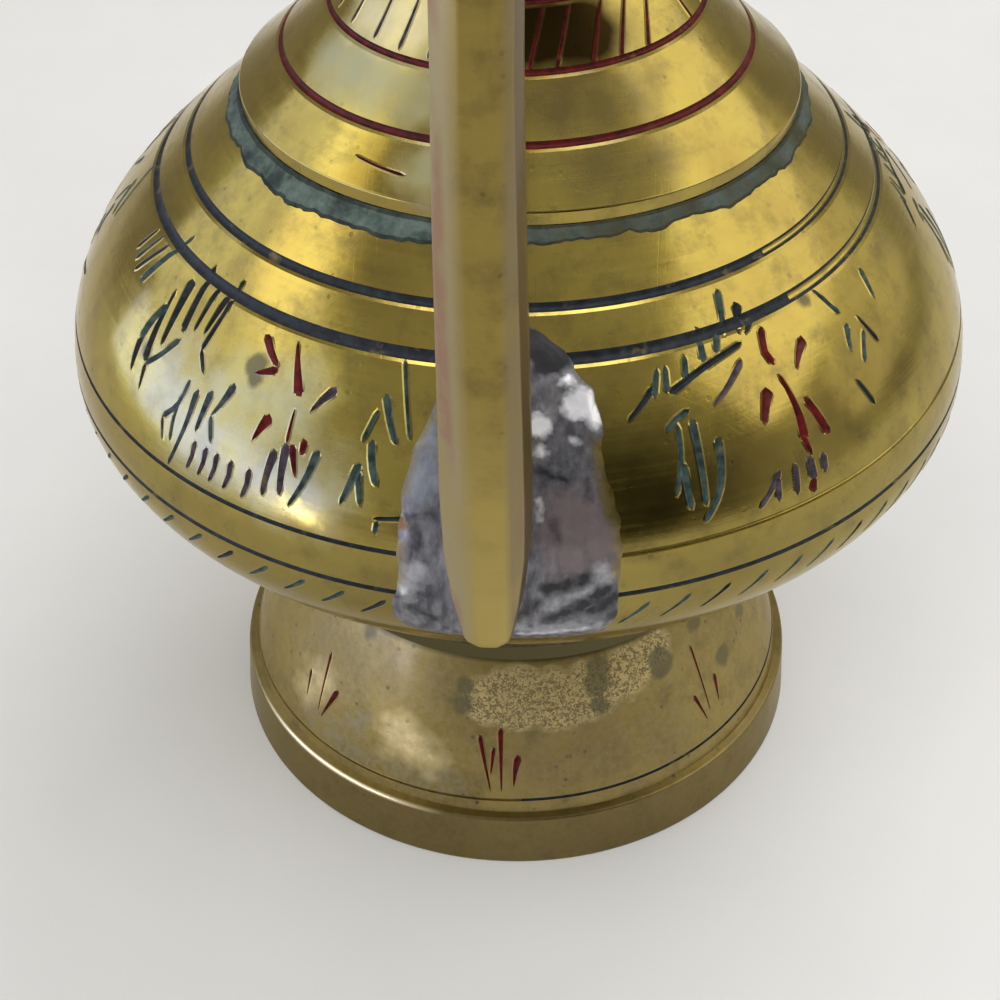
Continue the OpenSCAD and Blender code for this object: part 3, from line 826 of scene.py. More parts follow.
# Brass of each piece: bright, dull and stained tone, least and greatest roughness, strength of the
# pin-prick spots, and clear coat
BRASS = {
    "spout": ((0.39, 0.31, 0.09), (0.30, 0.235, 0.07), (0.15, 0.12, 0.042), 0.16, 0.32, 0.3, 0.5),
    "lid": ((0.40, 0.315, 0.09), (0.31, 0.24, 0.07), (0.16, 0.125, 0.045), 0.16, 0.32, 0.3, 0.5),
    "hinge": ((0.36, 0.285, 0.11), (0.28, 0.22, 0.085), (0.18, 0.14, 0.06), 0.28, 0.46, 0.3, 0.5),
    "bowl": ((0.40, 0.312, 0.056), (0.28, 0.202, 0.037), (0.125, 0.092, 0.023), 0.12, 0.30, 0.3, 0.5),
    "neck": ((0.40, 0.312, 0.058), (0.29, 0.21, 0.04), (0.14, 0.104, 0.027), 0.13, 0.30, 0.3, 0.5),
    "foot": ((0.33, 0.245, 0.068), (0.24, 0.172, 0.045), (0.13, 0.098, 0.032), 0.26, 0.44, 0.8, 0.3),
    "handle": ((0.32, 0.235, 0.055), (0.23, 0.165, 0.038), (0.12, 0.085, 0.026), 0.3, 0.46, 0.3, 0.2),
}
# Lacquers in the cuts, in the order of their numbers: dark tone, pale tone, and how much is rubbed out
LACQUERS = {
    "blue_black": ((0.008, 0.010, 0.013), (0.022, 0.030, 0.036), 0.45),
    "teal": ((0.016, 0.034, 0.036), (0.075, 0.115, 0.10), 0.6),
    "red": ((0.045, 0.003, 0.003), (0.17, 0.010, 0.008), 0.4),
    "purple": ((0.026, 0.019, 0.03), (0.10, 0.078, 0.105), 0.5),
    "dark_red": ((0.04, 0.003, 0.003), (0.14, 0.008, 0.008), 0.3),
    "slate": ((0.022, 0.032, 0.04), (0.095, 0.125, 0.145), 0.5),
}
BLACK, TEAL, RED, PURPLE, DARK_RED, SLATE = range(1, 7)


def aged_brass(name):
    """Worn brass: clouds of tarnish, a mottled film, pin-prick spots, fine scratches and a turned grain."""
    bright, dull, stain, gloss, satin, pits, coat = BRASS[name]
    p = Paint(name + "_brass", {"Metallic": 1.0, "Specular Tint": EDGE_TINT})
    p.feed("Coat Weight", coat)
    p.feed("Coat Roughness", 0.12)
    clouds = p.noise(16, detail=6, distortion=0.6)
    film = p.noise(3.5, detail=7, roughness=0.65)
    color = p.mix(p.spread(clouds, 0.36, 0.66), dull, bright)
    color = p.mix(p.spread(film, 0.48, 0.74, 0, 0.7), color, stain)
    dots = p.product(p.spread(p.spots(1.7), 0.16, 0.1), p.spread(film, 0.4, 0.62, 0, pits))
    p.feed("Base Color", p.mix(dots, color, tuple(c * 0.35 for c in stain)))

    lines = p.noise(1.4, detail=4, vector=p.moved((0.06, 0.06, 4)))
    rough_film = p.spread(p.math("ADD", clouds, film), 0.8, 1.25, gloss, satin)
    rough_all = p.math("ADD", rough_film, p.spread(lines, 0.35, 0.75, -0.03, 0.06))
    p.feed("Roughness", p.math("ADD", rough_all, p.product(dots, 0.25)))

    scores = p.noise(1.1, detail=2, vector=p.moved((0.05, 5, 0.05), (25, 40, 15)))
    marks = p.noise(1.1, detail=2, vector=p.moved((5, 0.05, 0.05), (70, 20, 55)))
    cuts = p.math("MINIMUM", p.spread(scores, 0.3, 0.36), p.spread(marks, 0.29, 0.35))
    normal = None
    for height, depth in (
        (p.noise(7, detail=2), 0.05), (lines, 0.006), (cuts, 0.0015), (p.noise(0.5, detail=3), 0.004),
        (p.math("SUBTRACT", 1.0, dots), 0.03),
    ):
        normal = p.bump(height, depth, normal)
    p.feed("Normal", normal)
    return p


def lacquer(name):
    """Old lacquer in the bottom of a cut, patchy and partly rubbed out to dull metal."""
    dark, pale, worn = LACQUERS[name]
    p = Paint(name + "_lacquer", {"Roughness": 0.5, "Specular IOR Level": 0.22})
    color = p.mix(p.spread(p.noise(0.9, detail=4), 0.35, 0.7), dark, pale)
    rubbed = p.spread(p.noise(2.2, detail=5), 0.62, 0.72, 0, worn)
    p.feed("Base Color", p.mix(rubbed, color, (0.30, 0.23, 0.09)))
    p.feed("Metallic", rubbed)
    p.feed("Normal", p.bump(p.noise(0.35, detail=3), 0.03))
    return p.material


# Marks on the finishes: the angle from the handle and the length along the surface of a point, or of the
# two ends of a streak, and a radius. Lengths on the bowl and its solder run from the bowl's seam.
BOWL_BLOTCHES = [(-33.6, 17.2, 1.15), (-33, 16.2, 0.8), (-52, 12.6, 0.8), (48, 21.5, 0.7)]
BOWL_FILM = [(-34, 13, 3.6), (-28, 10, 4.2), (-21, 9, 3.2), (-38, 9, 4), (-45, 12, 3.4), (-27, 15, 3)]
BOWL_CLEAN = [(-23.2, 6.8, 0.8), (-24.6, 7.3, 0.5), (-21.4, 6.1, 0.6), (-19.8, 5.6, 0.4)]
# Painted shade: a near-black band high on the cone beside the handle
CONE_SHADE_BAND = [(-2, 15.2, 24, 15.3, 3.2), (24, 15.3, 30, 15.4, 1.8)]
# Painted dark reflections on the cone, right of the handle
CONE_PAINTED_REFLECTIONS = [
    (14, 9, 2.8), (23, 8.8, 2.8), (32, 8.8, 2.4), (24, 11, 1.6), (20, 3.2, 2.6), (30, 3, 2.4),
    (36, 14.5, 2.2),
]
CONE_FILM = [
    (-14, 9, 2.8), (-24, 9, 3), (-35, 9.2, 3), (-46, 9.3, 2.8), (-57, 9.4, 2.4), (-16, 2.6, 2.6),
]
CONE_PALE = [(-30, 15, 2.8), (-42, 14.6, 2.6), (-54, 14.4, 2.2), (-20, 15, 2.4)]
FOOT_PITTED = [
    (-4, 13, 2.6), (3, 13.4, 3.6), (12, 13, 3.6), (21, 13.4, 3.4), (30, 14.4, 3), (38, 15.6, 2.2),
]
FOOT_BLOTCHES = [
    (39, 13.7, 1.7), (22.5, 15.6, 1.3), (22, 13.8, 1.4), (22, 11.6, 1), (-9, 14.2, 1),
    (-9.4, 12.4, 1.2), (52, 15.6, 1), (58, 9.5, 1.1), (-36, 16.6, 0.8), (70, 11.5, 1),
]
FOOT_GREY = [(-33, 6.2, 1.2), (-46, 3.6, 1.4), (-40, 3, -10, 2.6, 1.3), (-12, 3.4, 1.5)]
# Painted highlights on the foot's left: bright, glossy spots that stand in for reflected light
FOOT_HIGHLIGHTS = [(-21.5, 6.4, 1.3), (-23, 6.8, -16, 5.4, 0.8), (-50, 5.6, -46, 8, 0.6)]
FOOT_DULL = [(-26, 14, 3.4), (-38, 13, 3.4), (-16, 14.5, 2.6), (-50, 13, 3)]
# Painted dark reflection: dark brown low on the right of the foot
FOOT_DARK_REFLECTION = [(22, 5.4, 3.6), (36, 4.6, 3), (8, 5.2, 2.6)]
# Marks on the solder beside the handle
# White tin on the solder, painted bright so that it also stands in for glints on its facets
SOLDER_TIN_GLINTS = [
    (10.4, 18.3, 1.4), (12.2, 17.2, 0.9), (5.3, 16.6, 1), (9.3, 20.2, 0.5), (5.5, 14.6, 0.5),
    (9.5, 15.2, 0.4), (-10.4, 7.8, 0.4), (-9.6, 1.4, 0.4), (5, 10.4, 5.3, 8.6, 0.15),
    (3.2, -3.6, 10.4, -2.9, 0.25),
]
SOLDER_PALE = [
    (-9.6, 1.8, 1.3), (-8.6, 3.2, 1), (4, -3, 12, -2.6, 0.6), (6.4, 0.2, 10.6, 1.9, 0.35),
    (12, 3.4, 0.8),
]
SOLDER_FLUX = [
    (7, 22.6, 1.9), (4.5, 23.6, 1.6), (5.4, 12.9, 8.6, 12, 0.5), (13.2, 14.8, 12.4, 13, 0.5),
    (12.8, 11.4, 12.9, 9.2, 0.35), (11, 12, 10.6, 10.2, 0.3), (6.8, 8.6, 7.2, 6.8, 0.25),
    (6, 2.4, 10.2, 3.1, 0.75), (6.6, -1, 12.4, 1.7, 0.75), (11, -0.4, 13.2, 1, 0.7), (13.4, -1.4, 0.6),
    (2.7, -1, 4.8, 0.7, 0.4), (-10.8, 7.9, -6.8, 8.8, 0.25), (-8.6, 7.6, -8.1, 5.9, 0.3),
    (-9, -0.5, -6.4, -1.7, 0.5), (-10.8, 0.6, -7, 1, 0.2),
]
SOLDER_STAIN = [(9, 8.4, 3), (11.6, 6.6, 2.4), (8.6, 5.2, 1.8)]
SOLDER_BLUE = [(-10, 11.5, 2.4), (-9, 15, 1.6)]
SOLDER_BROWN = [(-10.2, 7.6, 0.55)]
# Borders where it is so thin that the brass shows through
SOLDER_THIN = [
    (14.2, 3.4, 14.6, 5, 0.5), (14.6, 5, 14.4, 8, 0.7), (14.4, 8, 13.5, 11, 0.8),
    (13.5, 11, 13, 14.4, 0.8), (-10.5, 2.4, -10.8, 5.6, 0.4), (-10.8, 9.4, -10.3, 13, 0.4),
    (-10.3, 13, -8.6, 17, 0.4),
]


def foot_finish():
    """Dull, blotched brass, pitted under the bowl, with painted highlights on its left and along the left of
    its band's top edge, a painted dark reflection low on its right, and painted shade at its top.
    """
    p = aged_brass("foot")
    ragged = p.wander(1.6, 0.5)
    area = p.mark(foot_line, FOOT_PITTED, 0.5, ragged, 0.85, (0.72, 0.57, 0.25), 1.0, 0.42)
    pits = p.product(area, p.spread(p.noise(0.38, detail=3, distortion=1.2), 0.53, 0.45))
    p.cover(pits, (0.10, 0.07, 0.025), 0.6, 0.6, 0.8)
    p.feed("Normal", p.bump(p.math("SUBTRACT", 1.0, pits), 0.05, p.now("Normal")))
    # Painted dark reflection low on the right of the foot
    p.mark(foot_line, FOOT_DARK_REFLECTION, 2.0, ragged, 0.6, (0.22, 0.155, 0.06), 1.0, 0.4)
    p.mark(foot_line, FOOT_DULL, 2.4, ragged, 0.55, (0.20, 0.155, 0.062), 1.0, 0.5)
    speckle = p.spread(p.noise(0.8, detail=6, roughness=0.7), 0.38, 0.62)
    p.cover(speckle, (0.36, 0.30, 0.17), 0.8, 0.46, 0.3)
    less, more = p.spread(speckle, 0, 1, 0.95, 0.6), p.spread(speckle, 0, 1, 0.15, 0.55)
    p.mark(foot_line, FOOT_GREY, 0.9, p.wander(2.6, 1.0), more, (0.22, 0.23, 0.17), 0.6, 0.5)
    # Painted highlights: bright, glossy brass on the foot's left
    p.mark(foot_line, FOOT_HIGHLIGHTS, 2.3, p.wander(2.2, 1.1), less, (0.98, 0.80, 0.43), 1.0, 0.27)
    p.mark(foot_line, FOOT_BLOTCHES, 0.3, p.wander(2.2, 0.45), 0.75, (0.115, 0.105, 0.052), 0.8, 0.5)
    p.cover(p.along("Z", 6.9, 6.3, 0, 0.55), (0.13, 0.096, 0.037), 1.0, 0.42)
    # Painted highlight along the top edge of the band, on its left only
    edge = p.product(
        p.along("Z", band_h - 0.45, band_h - 0.2), p.along("X", -6, -12),
        p.along("Z", band_h + 0.12, band_h - 0.02), p.along("X", -28, -23),
    )
    p.cover(edge, (0.84, 0.72, 0.44), 1.0, 0.25)
    # Painted shade: the top of the foot, under the bowl, is painted darker
    p.cover(p.along("Z", waist_z - 0.5, waist_z), (0.10, 0.083, 0.032), 1.0, 0.35)
    return p.material


def bowl_finish():
    """Aged brass, darker at the seam, with a grey film, clean spots and dark blotches among the strokes."""
    p = aged_brass("bowl")
    p.cover(p.along("Z", seam_z + 6.5, seam_z + 2.5, 0, 0.42), (0.17, 0.13, 0.035), 1.0, 0.3)
    mottle = p.spread(p.noise(3.0, detail=6), 0.32, 0.62, 0.25, 0.75)
    p.mark(bowl_line, BOWL_FILM, 2.2, p.wander(4, 1.2), mottle, (0.40, 0.39, 0.25), 0.6, 0.4)
    p.mark(bowl_line, BOWL_CLEAN, 0.35, p.wander(1.2, 0.5), 0.6, (0.62, 0.50, 0.14), 1.0, 0.22)
    p.mark(bowl_line, BOWL_BLOTCHES, 0.25, p.wander(1.5, 0.25), 0.85, (0.075, 0.066, 0.028), 0.8, 0.4)
    return p.material


def neck_finish():
    """Aged brass, with a grey film and pale patches, and painted dark reflections and painted shade on the
    cone beside the handle.
    """
    p = aged_brass("neck")
    ragged = p.wander(3, 0.8)
    mottle = p.spread(p.noise(5.0, detail=6), 0.3, 0.6, 0.55, 0.95)
    p.mark(cone_line, CONE_FILM, 1.4, ragged, mottle, (0.33, 0.315, 0.175), 0.6, 0.5)
    p.mark(cone_line, CONE_PALE, 1.4, ragged, mottle, (0.56, 0.49, 0.29), 0.6, 0.42)
    # Painted dark reflections on the cone right of the handle
    p.mark(cone_line, CONE_PAINTED_REFLECTIONS, 2.0, ragged, 0.7, (0.125, 0.095, 0.03), 1.0, 0.32)
    # Painted shade beside the handle, where the clear coat is also taken off
    dark = p.mark(cone_line, CONE_SHADE_BAND, 1.0, p.wander(3, 0.4), 0.97, (0.022, 0.012, 0.004), 1.0, 0.35)
    p.feed("Coat Weight", p.blend(dark, p.now("Coat Weight"), 0.0))
    return p.material


def handle_finish():
    """Satin brass: golden in the middle, with a grey film and traces of red paint on its bevels, and painted
    shade on its right bevel and right side face.
    """
    p = aged_brass("handle")
    p.cover(p.along("Z", 84, 56, 0, 0.8), (0.48, 0.375, 0.12), 1.0, 0.36)
    film = p.spread(p.noise(4.0, detail=5, vector=p.moved((1, 1, 0.35))), 0.3, 0.5, 0.45, 0.9)
    p.cover(p.along("X", -0.8, -2.0), (0.36, 0.30, 0.165), 0.55, 0.48, film)
    # Painted shade: the film on the right bevel is a darker copy of the one on the left
    p.cover(p.along("X", 1.5, 2.1), (0.24, 0.185, 0.09), 0.55, 0.5, film)
    outer = p.math("MAXIMUM", p.along("X", -1.9, -2.4), p.along("X", 2.2, 2.7))
    traces = p.spread(p.noise(7.0, detail=6, vector=p.moved((1, 1, 0.45))), 0.47, 0.56)
    p.cover(p.product(outer, traces), (0.30, 0.125, 0.09), 0.2, 0.5, 0.6)
    # Painted shade: the handle's right side face is painted dark
    facing = p.axis("X", p.node("ShaderNodeNewGeometry").outputs["Normal"])
    p.cover(p.spread(facing, 0.86, 0.95), (0.11, 0.072, 0.03), 0.6, 0.45)
    return p.material


def solder_finish():
    """Solder that ran down beside the handle: grey, with white tin painted bright as glints on its facets,
    black flux and a lilac stain.
    """
    p = Paint("soft_solder", {"Metallic": 0.8})
    streaks = p.noise(1.0, detail=5, vector=p.moved((1, 1, 0.3)))
    p.feed("Base Color", p.mix(p.spread(streaks, 0.36, 0.66), (0.10, 0.10, 0.115), (0.28, 0.275, 0.30)))
    p.feed("Roughness", p.spread(streaks, 0.35, 0.65, 0.5, 0.34))
    wide, fine = p.wander(1.2, 0.7), p.wander(1.0, 0.35)
    p.mark(bowl_line, SOLDER_STAIN, 1.4, wide, 0.85, (0.24, 0.185, 0.19), 0.6, 0.45)
    p.mark(bowl_line, SOLDER_BLUE, 1.2, wide, 0.8, (0.40, 0.44, 0.52), 0.8, 0.3)
    p.mark(bowl_line, SOLDER_PALE, 0.7, wide, 0.7, (0.50, 0.50, 0.53), 0.7, 0.4)
    p.mark(bowl_line, SOLDER_FLUX, 0.4, fine, 1.0, (0.012, 0.012, 0.016), 0.1, 0.45)
    p.mark(bowl_line, SOLDER_THIN, 0.8, fine, 0.92, (0.31, 0.23, 0.045), 1.0, 0.25)
    # White tin, painted bright as glints on the solder's facets
    p.mark(bowl_line, SOLDER_TIN_GLINTS, 0.3, fine, 1.0, (0.74, 0.74, 0.78), 0.4, 0.3)
    p.mark(bowl_line, SOLDER_BROWN, 0.2, fine, 1.0, (0.20, 0.10, 0.03), 0.3, 0.4)
    p.feed("Normal", p.bump(p.noise(0.8, detail=5, vector=p.moved((1, 1, 0.5))), 0.06))
    return p.material


def crust_finish(name, dark, pale):
    """Grey-green verdigris, blotched and crumbling, and olive on the right."""
    p = Paint(name, {"Roughness": 0.85, "Specular IOR Level": 0.12})
    body = p.noise(1.5, detail=7, roughness=0.7)
    p.feed("Base Color", p.mix(p.spread(body, 0.33, 0.66), dark, pale))
    p.cover(p.spread(p.noise(4.0, detail=5), 0.54, 0.66), (0.022, 0.03, 0.03), 0.0, 0.85, 0.7)
    mottle = p.spread(p.noise(3.0, detail=5), 0.36, 0.6, 0.25, 0.9)
    p.cover(p.along("X", -1, 5), (0.058, 0.05, 0.024), 0.2, 0.7, mottle)
    p.feed("Normal", p.bump(p.noise(0.5, detail=5), 0.15))
    return p.material


def fillet_finish():
    """Old solder, dark and mottled."""
    p = Paint("old_solder", {"Metallic": 0.7})
    dark_tone = p.noise(1.8, detail=6, roughness=0.65)
    p.feed("Base Color", p.mix(p.spread(dark_tone, 0.36, 0.62), (0.05, 0.042, 0.02), (0.16, 0.135, 0.07)))
    p.feed("Roughness", p.spread(dark_tone, 0.35, 0.65, 0.6, 0.38))
    p.feed("Normal", p.bump(p.noise(0.7, detail=5), 0.1))
    return p.material


def table_finish():
    """Plain pale table."""
    p = Paint("table_top", {"Roughness": 0.9, "Specular IOR Level": 0.0})
    clouds = p.spread(p.noise(40, detail=4), 0.3, 0.7)
    p.feed("Base Color", p.mix(clouds, (0.80, 0.80, 0.80), (0.84, 0.84, 0.84)))
    p.feed("Normal", p.bump(p.noise(1.2, detail=3), 0.01))
    return p.material


# Every finish, by name
M = {name: aged_brass(name).material for name in ("spout", "lid", "hinge")}
M |= {"bowl": bowl_finish(), "neck": neck_finish(), "foot": foot_finish(), "handle": handle_finish()}
M |= {"solder": solder_finish(), "fillet": fillet_finish(), "table": table_finish()}
M["verdigris"] = crust_finish("verdigris", (0.06, 0.085, 0.075), (0.16, 0.215, 0.19))
M["dark_crust"] = crust_finish("dark_verdigris", (0.02, 0.028, 0.026), (0.075, 0.095, 0.08))
CUT_FINISHES = [lacquer(name) for name in LACQUERS]


def painted(metal):
    """A metal followed by the lacquers, in the order of their numbers."""
    return [M[metal]] + CUT_FINISHES


# Ornament: (lacquer, widths at both ends, points). A point is the angle from the handle in degrees and the
# length along the surface in millimetres, from the seam on the bowl and from the step on the foot.
LEFT_LEAF = [
    (BLACK, (1.15, 0.5), (-51.2, 20.4), (-50.6, 17.5), (-50, 14)),
    (BLACK, (0.6, 0.8), (-48.8, 22.8), (-48.2, 19), (-47.6, 16.3)),
    (BLACK, (0.6, 0.35), (-45.8, 21.6), (-45.7, 17)),
    (BLACK, (0.8, 0.35), (-43.3, 21.4), (-43.8, 17.3)),
    (BLACK, (0.45, 0.5), (-42.2, 23.3), (-42.4, 19), (-42.9, 16)),
    (BLACK, (0.5, 0.4), (-42.9, 16), (-40.8, 14.3)),
    (BLACK, (0.4, 0.9), (-53.1, 18.7), (-52.7, 15.5), (-51.6, 11.8)),
    (TEAL, (0.7, 0.9), (-53, 17.2), (-54.3, 14.6), (-54.3, 13)),
    (BLACK, (0.9, 0.4), (-54.3, 13.2), (-54, 11.5), (-53.3, 10)),
    (TEAL, (0.6, 0.6), (-47.2, 15.6), (-49.2, 13.2), (-51.2, 11.6)),
    (BLACK, (0.6, 0.25), (-51.1, 11.6), (-50.4, 9.2)),
    (TEAL, (0.4, 0.9), (-57, 23.3), (-59.5, 20), (-61.5, 16.5)),
    (BLACK, (0.35, 0.5), (-61, 20.8), (-64.5, 16.5)),
    (TEAL, (0.35, 0.5), (-63.7, 20.9), (-66.1, 17.1)),
    (BLACK, (0.3, 0.45), (-66.1, 20.8), (-67.8, 17.7)),
    (SLATE, (0.4, 0.6), (-42.4, 13.2), (-42.6, 10.6), (-44.6, 8.8)),
    (TEAL, (0.4, 0.3), (-44.6, 8.8), (-43.6, 6.8)),
    (TEAL, (0.3, 0.4), (-42.4, 12.5), (-42.9, 9.8), (-42.3, 7.2)),
    (SLATE, (0.7, 0.4), (-40.6, 12.8), (-40.4, 9.8), (-41, 7.2), (-41.9, 5)),
    (SLATE, (0.8, 0.4), (-38.4, 13.4), (-38.6, 10.5), (-38.7, 9.4)),
    (SLATE, (0.9, 0.3), (-35.4, 14.8), (-36.4, 12.6), (-37.2, 11.4)),
    (SLATE, (0.5, 0.4), (-37.2, 11.4), (-36, 9.2)),
]
LEFT_LEAF += [
    (PURPLE, (0.65, 0.45), (phi, 8.6), (phi + 0.1, 7), (phi - 0.5, 5.8))
    for phi in (-38.3, -36.4, -34.6, -32.4, -29.7)
]
LEFT_BUD = [
    (RED, (0.9, 0.5), (-33.9, 20), (-32, 18.6), (-30.4, 17.9)),
    (RED, (0.3, 0.9), (-33.2, 16.6), (-31.6, 17.1), (-30.2, 17.6)),
    (RED, (0.25, 1), (-28.9, 20.5), (-27.4, 18.2), (-26, 16.2)),
    (PURPLE, (1, 0.2), (-21.2, 17.6), (-22.6, 16.6), (-23.8, 15.2)),
    (RED, (1.2, 0.15), (-28.9, 13.6), (-29.7, 12.4), (-30.4, 11)),
    (RED, (0.2, 0.35), (-25.9, 15), (-25.7, 12)),
    (PURPLE, (0.9, 0.5), (-26.9, 11), (-27.3, 9), (-27.4, 6.8)),
    (PURPLE, (0.9, 0.5), (-25.6, 11.8), (-25.5, 9.5), (-25.2, 7.4)),
    (RED, (0.8, 0.3), (-24.9, 12), (-24.2, 10.6), (-23.6, 9.4)),
    (RED, (0.8, 0.5), (-23.4, 12.7), (-23.4, 11.4)),
    (TEAL, (0.8, 0.35), (-21.4, 12.2), (-22.2, 9.4), (-23.9, 6.7)),
]
HANDLE_LEAF = [
    (TEAL, (0.7, 0.5), (-14.4, 18.2), (-13.2, 15.9), (-12, 14.2)),
    (TEAL, (0.4, 0.4), (-15, 16.8), (-16.2, 13.9)),
    (TEAL, (0.7, 0.6), (-15, 14.2), (-14.6, 12.2), (-13.6, 10.4)),
    (TEAL, (0.8, 0.4), (-16, 12), (-16.8, 10), (-17.6, 8.2)),
    (TEAL, (0.7, 0.4), (-16, 11.4), (-15.2, 8.4)),
    (TEAL, (0.4, 0.3), (-12.9, 21.5), (-11.4, 17.5), (-10.4, 14.8)),
    (BLACK, (0.35, 0.5), (-13.5, 7.6), (-10, 8), (-7.4, 8.6)),
    (TEAL, (0.5, 0.4), (-13, 7.4), (-13.2, 6.2)),
]
RIGHT_LEAF = [
    (BLACK, (0.4, 0.6), (16.5, 16.4), (19, 17.8), (20.6, 19)),
    (TEAL, (0.6, 0.5), (20.4, 18), (21.6, 20.4)),
    (TEAL, (0.6, 0.5), (22.2, 18.2), (22.8, 20.5)),
    (TEAL, (0.6, 0.5), (25.2, 19), (25.9, 21)),
    (BLACK, (0.7, 0.5), (22.6, 18.1), (28, 19.6), (34.8, 20.6)),
    (TEAL, (0.7, 0.5), (28.4, 20), (29, 23)),
    (TEAL, (0.6, 0.6), (30.6, 20.5), (32, 22.4)),
    (TEAL, (0.5, 0.7), (32.8, 21.6), (34.4, 25.6)),
    (BLACK, (0.5, 1), (35, 21.4), (36.6, 23.9)),
    (BLACK, (0.4, 0.6), (36, 21.2), (38.4, 22.4)),
    (PURPLE, (0.6, 0.3), (33.8, 19.2), (31, 17.6), (28, 16.2)),
    (TEAL, (0.6, 0.5), (24.6, 16.4), (22.6, 15.9), (21, 15)),
    (TEAL, (0.5, 0.4), (22.6, 15.4), (22.4, 12.6), (21, 9.4)),
    (TEAL, (0.7, 0.6), (22.4, 12), (22.4, 10), (22.6, 8)),
    (TEAL, (0.7, 0.5), (24.6, 15.5), (24.6, 12), (24.4, 8)),
    (TEAL, (0.8, 0.5), (27.4, 13.5), (27, 10.5), (26, 8.4), (24, 6.6)),
]
RIGHT_BUD = [
    (RED, (0.7, 0.7), (38.7, 21.2), (37.8, 19.4), (37.7, 18.8), (38.4, 17.8)),
    (RED, (1.1, 0.3), (44.4, 18.7), (42.8, 17.8), (41.4, 16.6)),
    (RED, (1.2, 0.5), (36, 16), (35, 14.8), (33.9, 13.3)),
    (RED, (0.3, 1), (38.4, 16.8), (39, 14.5), (39.2, 12.6), (38.8, 10.6)),
    (RED, (0.7, 0.4), (38.7, 11), (39.3, 9.1)),
    (RED, (0.7, 0.9), (40.8, 14), (41.8, 12), (42.4, 10.2)),
    (PURPLE, (0.6, 0.4), (34.4, 9), (32.6, 7.4), (31, 6.3)),
    (PURPLE, (0.6, 0.6), (33.9, 8.6), (33.6, 6.3)),
    (PURPLE, (0.6, 0.6), (36.6, 9), (36.2, 6.2)),
    (PURPLE, (0.8, 0.9), (38.8, 9), (38.8, 7)),
    (RED, (0.5, 0.9), (38.9, 7), (38.4, 5.9)),
    (PURPLE, (0.8, 0.6), (40.8, 8.8), (40.7, 7)),
]
RIGHT_END = [
    (TEAL, (0.4, 0.6), (50.3, 22), (51.5, 20.2), (52.6, 18.7)),
    (TEAL, (0.8, 0.4), (52.7, 17.6), (51.8, 16.6), (51, 15.4)),
    (TEAL, (0.5, 0.6), (55, 16.2), (53.6, 15), (52.4, 13.8)),
    (BLACK, (0.3, 0.5), (55.2, 17.6), (56.6, 14.4)),
    (BLACK, (0.4, 0.5), (49.7, 13), (51.2, 10)),
    (TEAL, (0.7, 0.4), (61.5, 20.5), (60.5, 17.5)),
]
FOOT_STROKES = [
    [
        (RED, (0.45, 0.12), (-4, 8.2), (-3.2, 5)),
        (RED, (0.35, 0.12), (0.6, 11.8), (1.2, 4.5)),
        (RED, (0.8, 0.12), (5.4, 8.2), (4.2, 6.6), (2.4, 4)),
    ],
    [
        (RED, (0.5, 0.14), (-5, 9), (-2.2, 2.5)),
        (RED, (0.5, 0.12), (-1.8, 7.7), (-2.3, 4.5)),
        (RED, (0.6, 0.14), (-0.5, 10), (0, 2.6)),
        (RED, (0.9, 0.12), (3.5, 6.8), (2.8, 5.4), (2.5, 3.2)),
    ],
    [
        (RED, (0.5, 0.12), (-2.2, 8), (0.2, 4.2)),
        (RED, (0.3, 0.14), (0.5, 13.6), (1.5, 5)),
        (RED, (0.6, 0.12), (5.3, 8.6), (4.7, 5.2)),
    ],
]
# The foot's groups of strokes: angle, and number of the group in the list above
FOOT_PLACES = [(-45.8, 0), (0, 1), (48, 2), (94, 0), (141, 1), (-91, 2), (-135, 0), (-180, 1)]
# Angles of the fine strokes on the neck's base
FLUTES = [-76, -62.4, -47.8, -35.9, -24, -12.5, -1, 11, 20.3, 33, 43.6] + [55 + 11.5 * i for i in range(20)]


# Turned pieces

def engraved(name, line, lines, strokes, back, finish, body, slot, replaces):
    """A turned piece with an engraved outside. The rest of its outline runs from its top to its foot."""
    shell = Shell()
    low_row, high_row, _ = shell.engrave(line, lines, strokes)
    shell.skin(back, high_row, low_row)
    shell.piece(name, painted(finish), body, slot, replaces)


def bowl_strokes():
    """The leaves and buds beside the handle, and again round the rest of the bowl."""
    left, right = LEFT_LEAF + LEFT_BUD + HANDLE_LEAF, RIGHT_LEAF + RIGHT_BUD + RIGHT_END
    groups = [(left + right, 0), (left, -72), (right, 66), (RIGHT_LEAF, -179), (HANDLE_LEAF, 158)]
    return [stroke for rows, turn in groups for stroke in strokes_on(upper_line, rows, turn)]


def make_upper_bowl():
    """Upper half of the bowl: four lines, the chiselled leaves and buds, and the port behind the spout."""
    lines = [
        Ring(0.9, 0.5, BLACK), Ring(4.85, 0.45, BLACK, (12, 110)), Ring(22.1, 1.1, BLACK, (46, 110), LEDGE),
        Ring(26.65, 0.85, BLACK, (46, 110), LEDGE),
    ]
    inside = Outline(beside(upper_line.points, wall))
    root_in = inside.s[np.argmin(np.hypot(*(inside.points - upper_line.at(root_s)).T))]
    shell, inner = Shell(), Shell()
    port, port_in = (SPOUT_SIDE, root_s, port_r), (SPOUT_SIDE, root_in, port_r)
    low_out, high_out, edge_out = shell.engrave(upper_line, lines, bowl_strokes(), port)
    low_in, high_in, edge_in = shell.add_lining(inner, inner.engrave(inside, hole=port_in))
    land = shoulder_r - 2 * wall
    top = [(shoulder_r, shoulder_z), (land, shoulder_z), (land, shoulder_z - wall), inside.points[-1]]
    shell.skin(top, high_out, high_in)
    shell.skin([inside.points[0], (belly_r, seam_z)], low_in, low_out)
    shell.bridge(edge_in, edge_out)
    shell.piece("bowl_upper_half", painted("bowl"), "ewer", "bowl_brass", ["upper_bowl"])


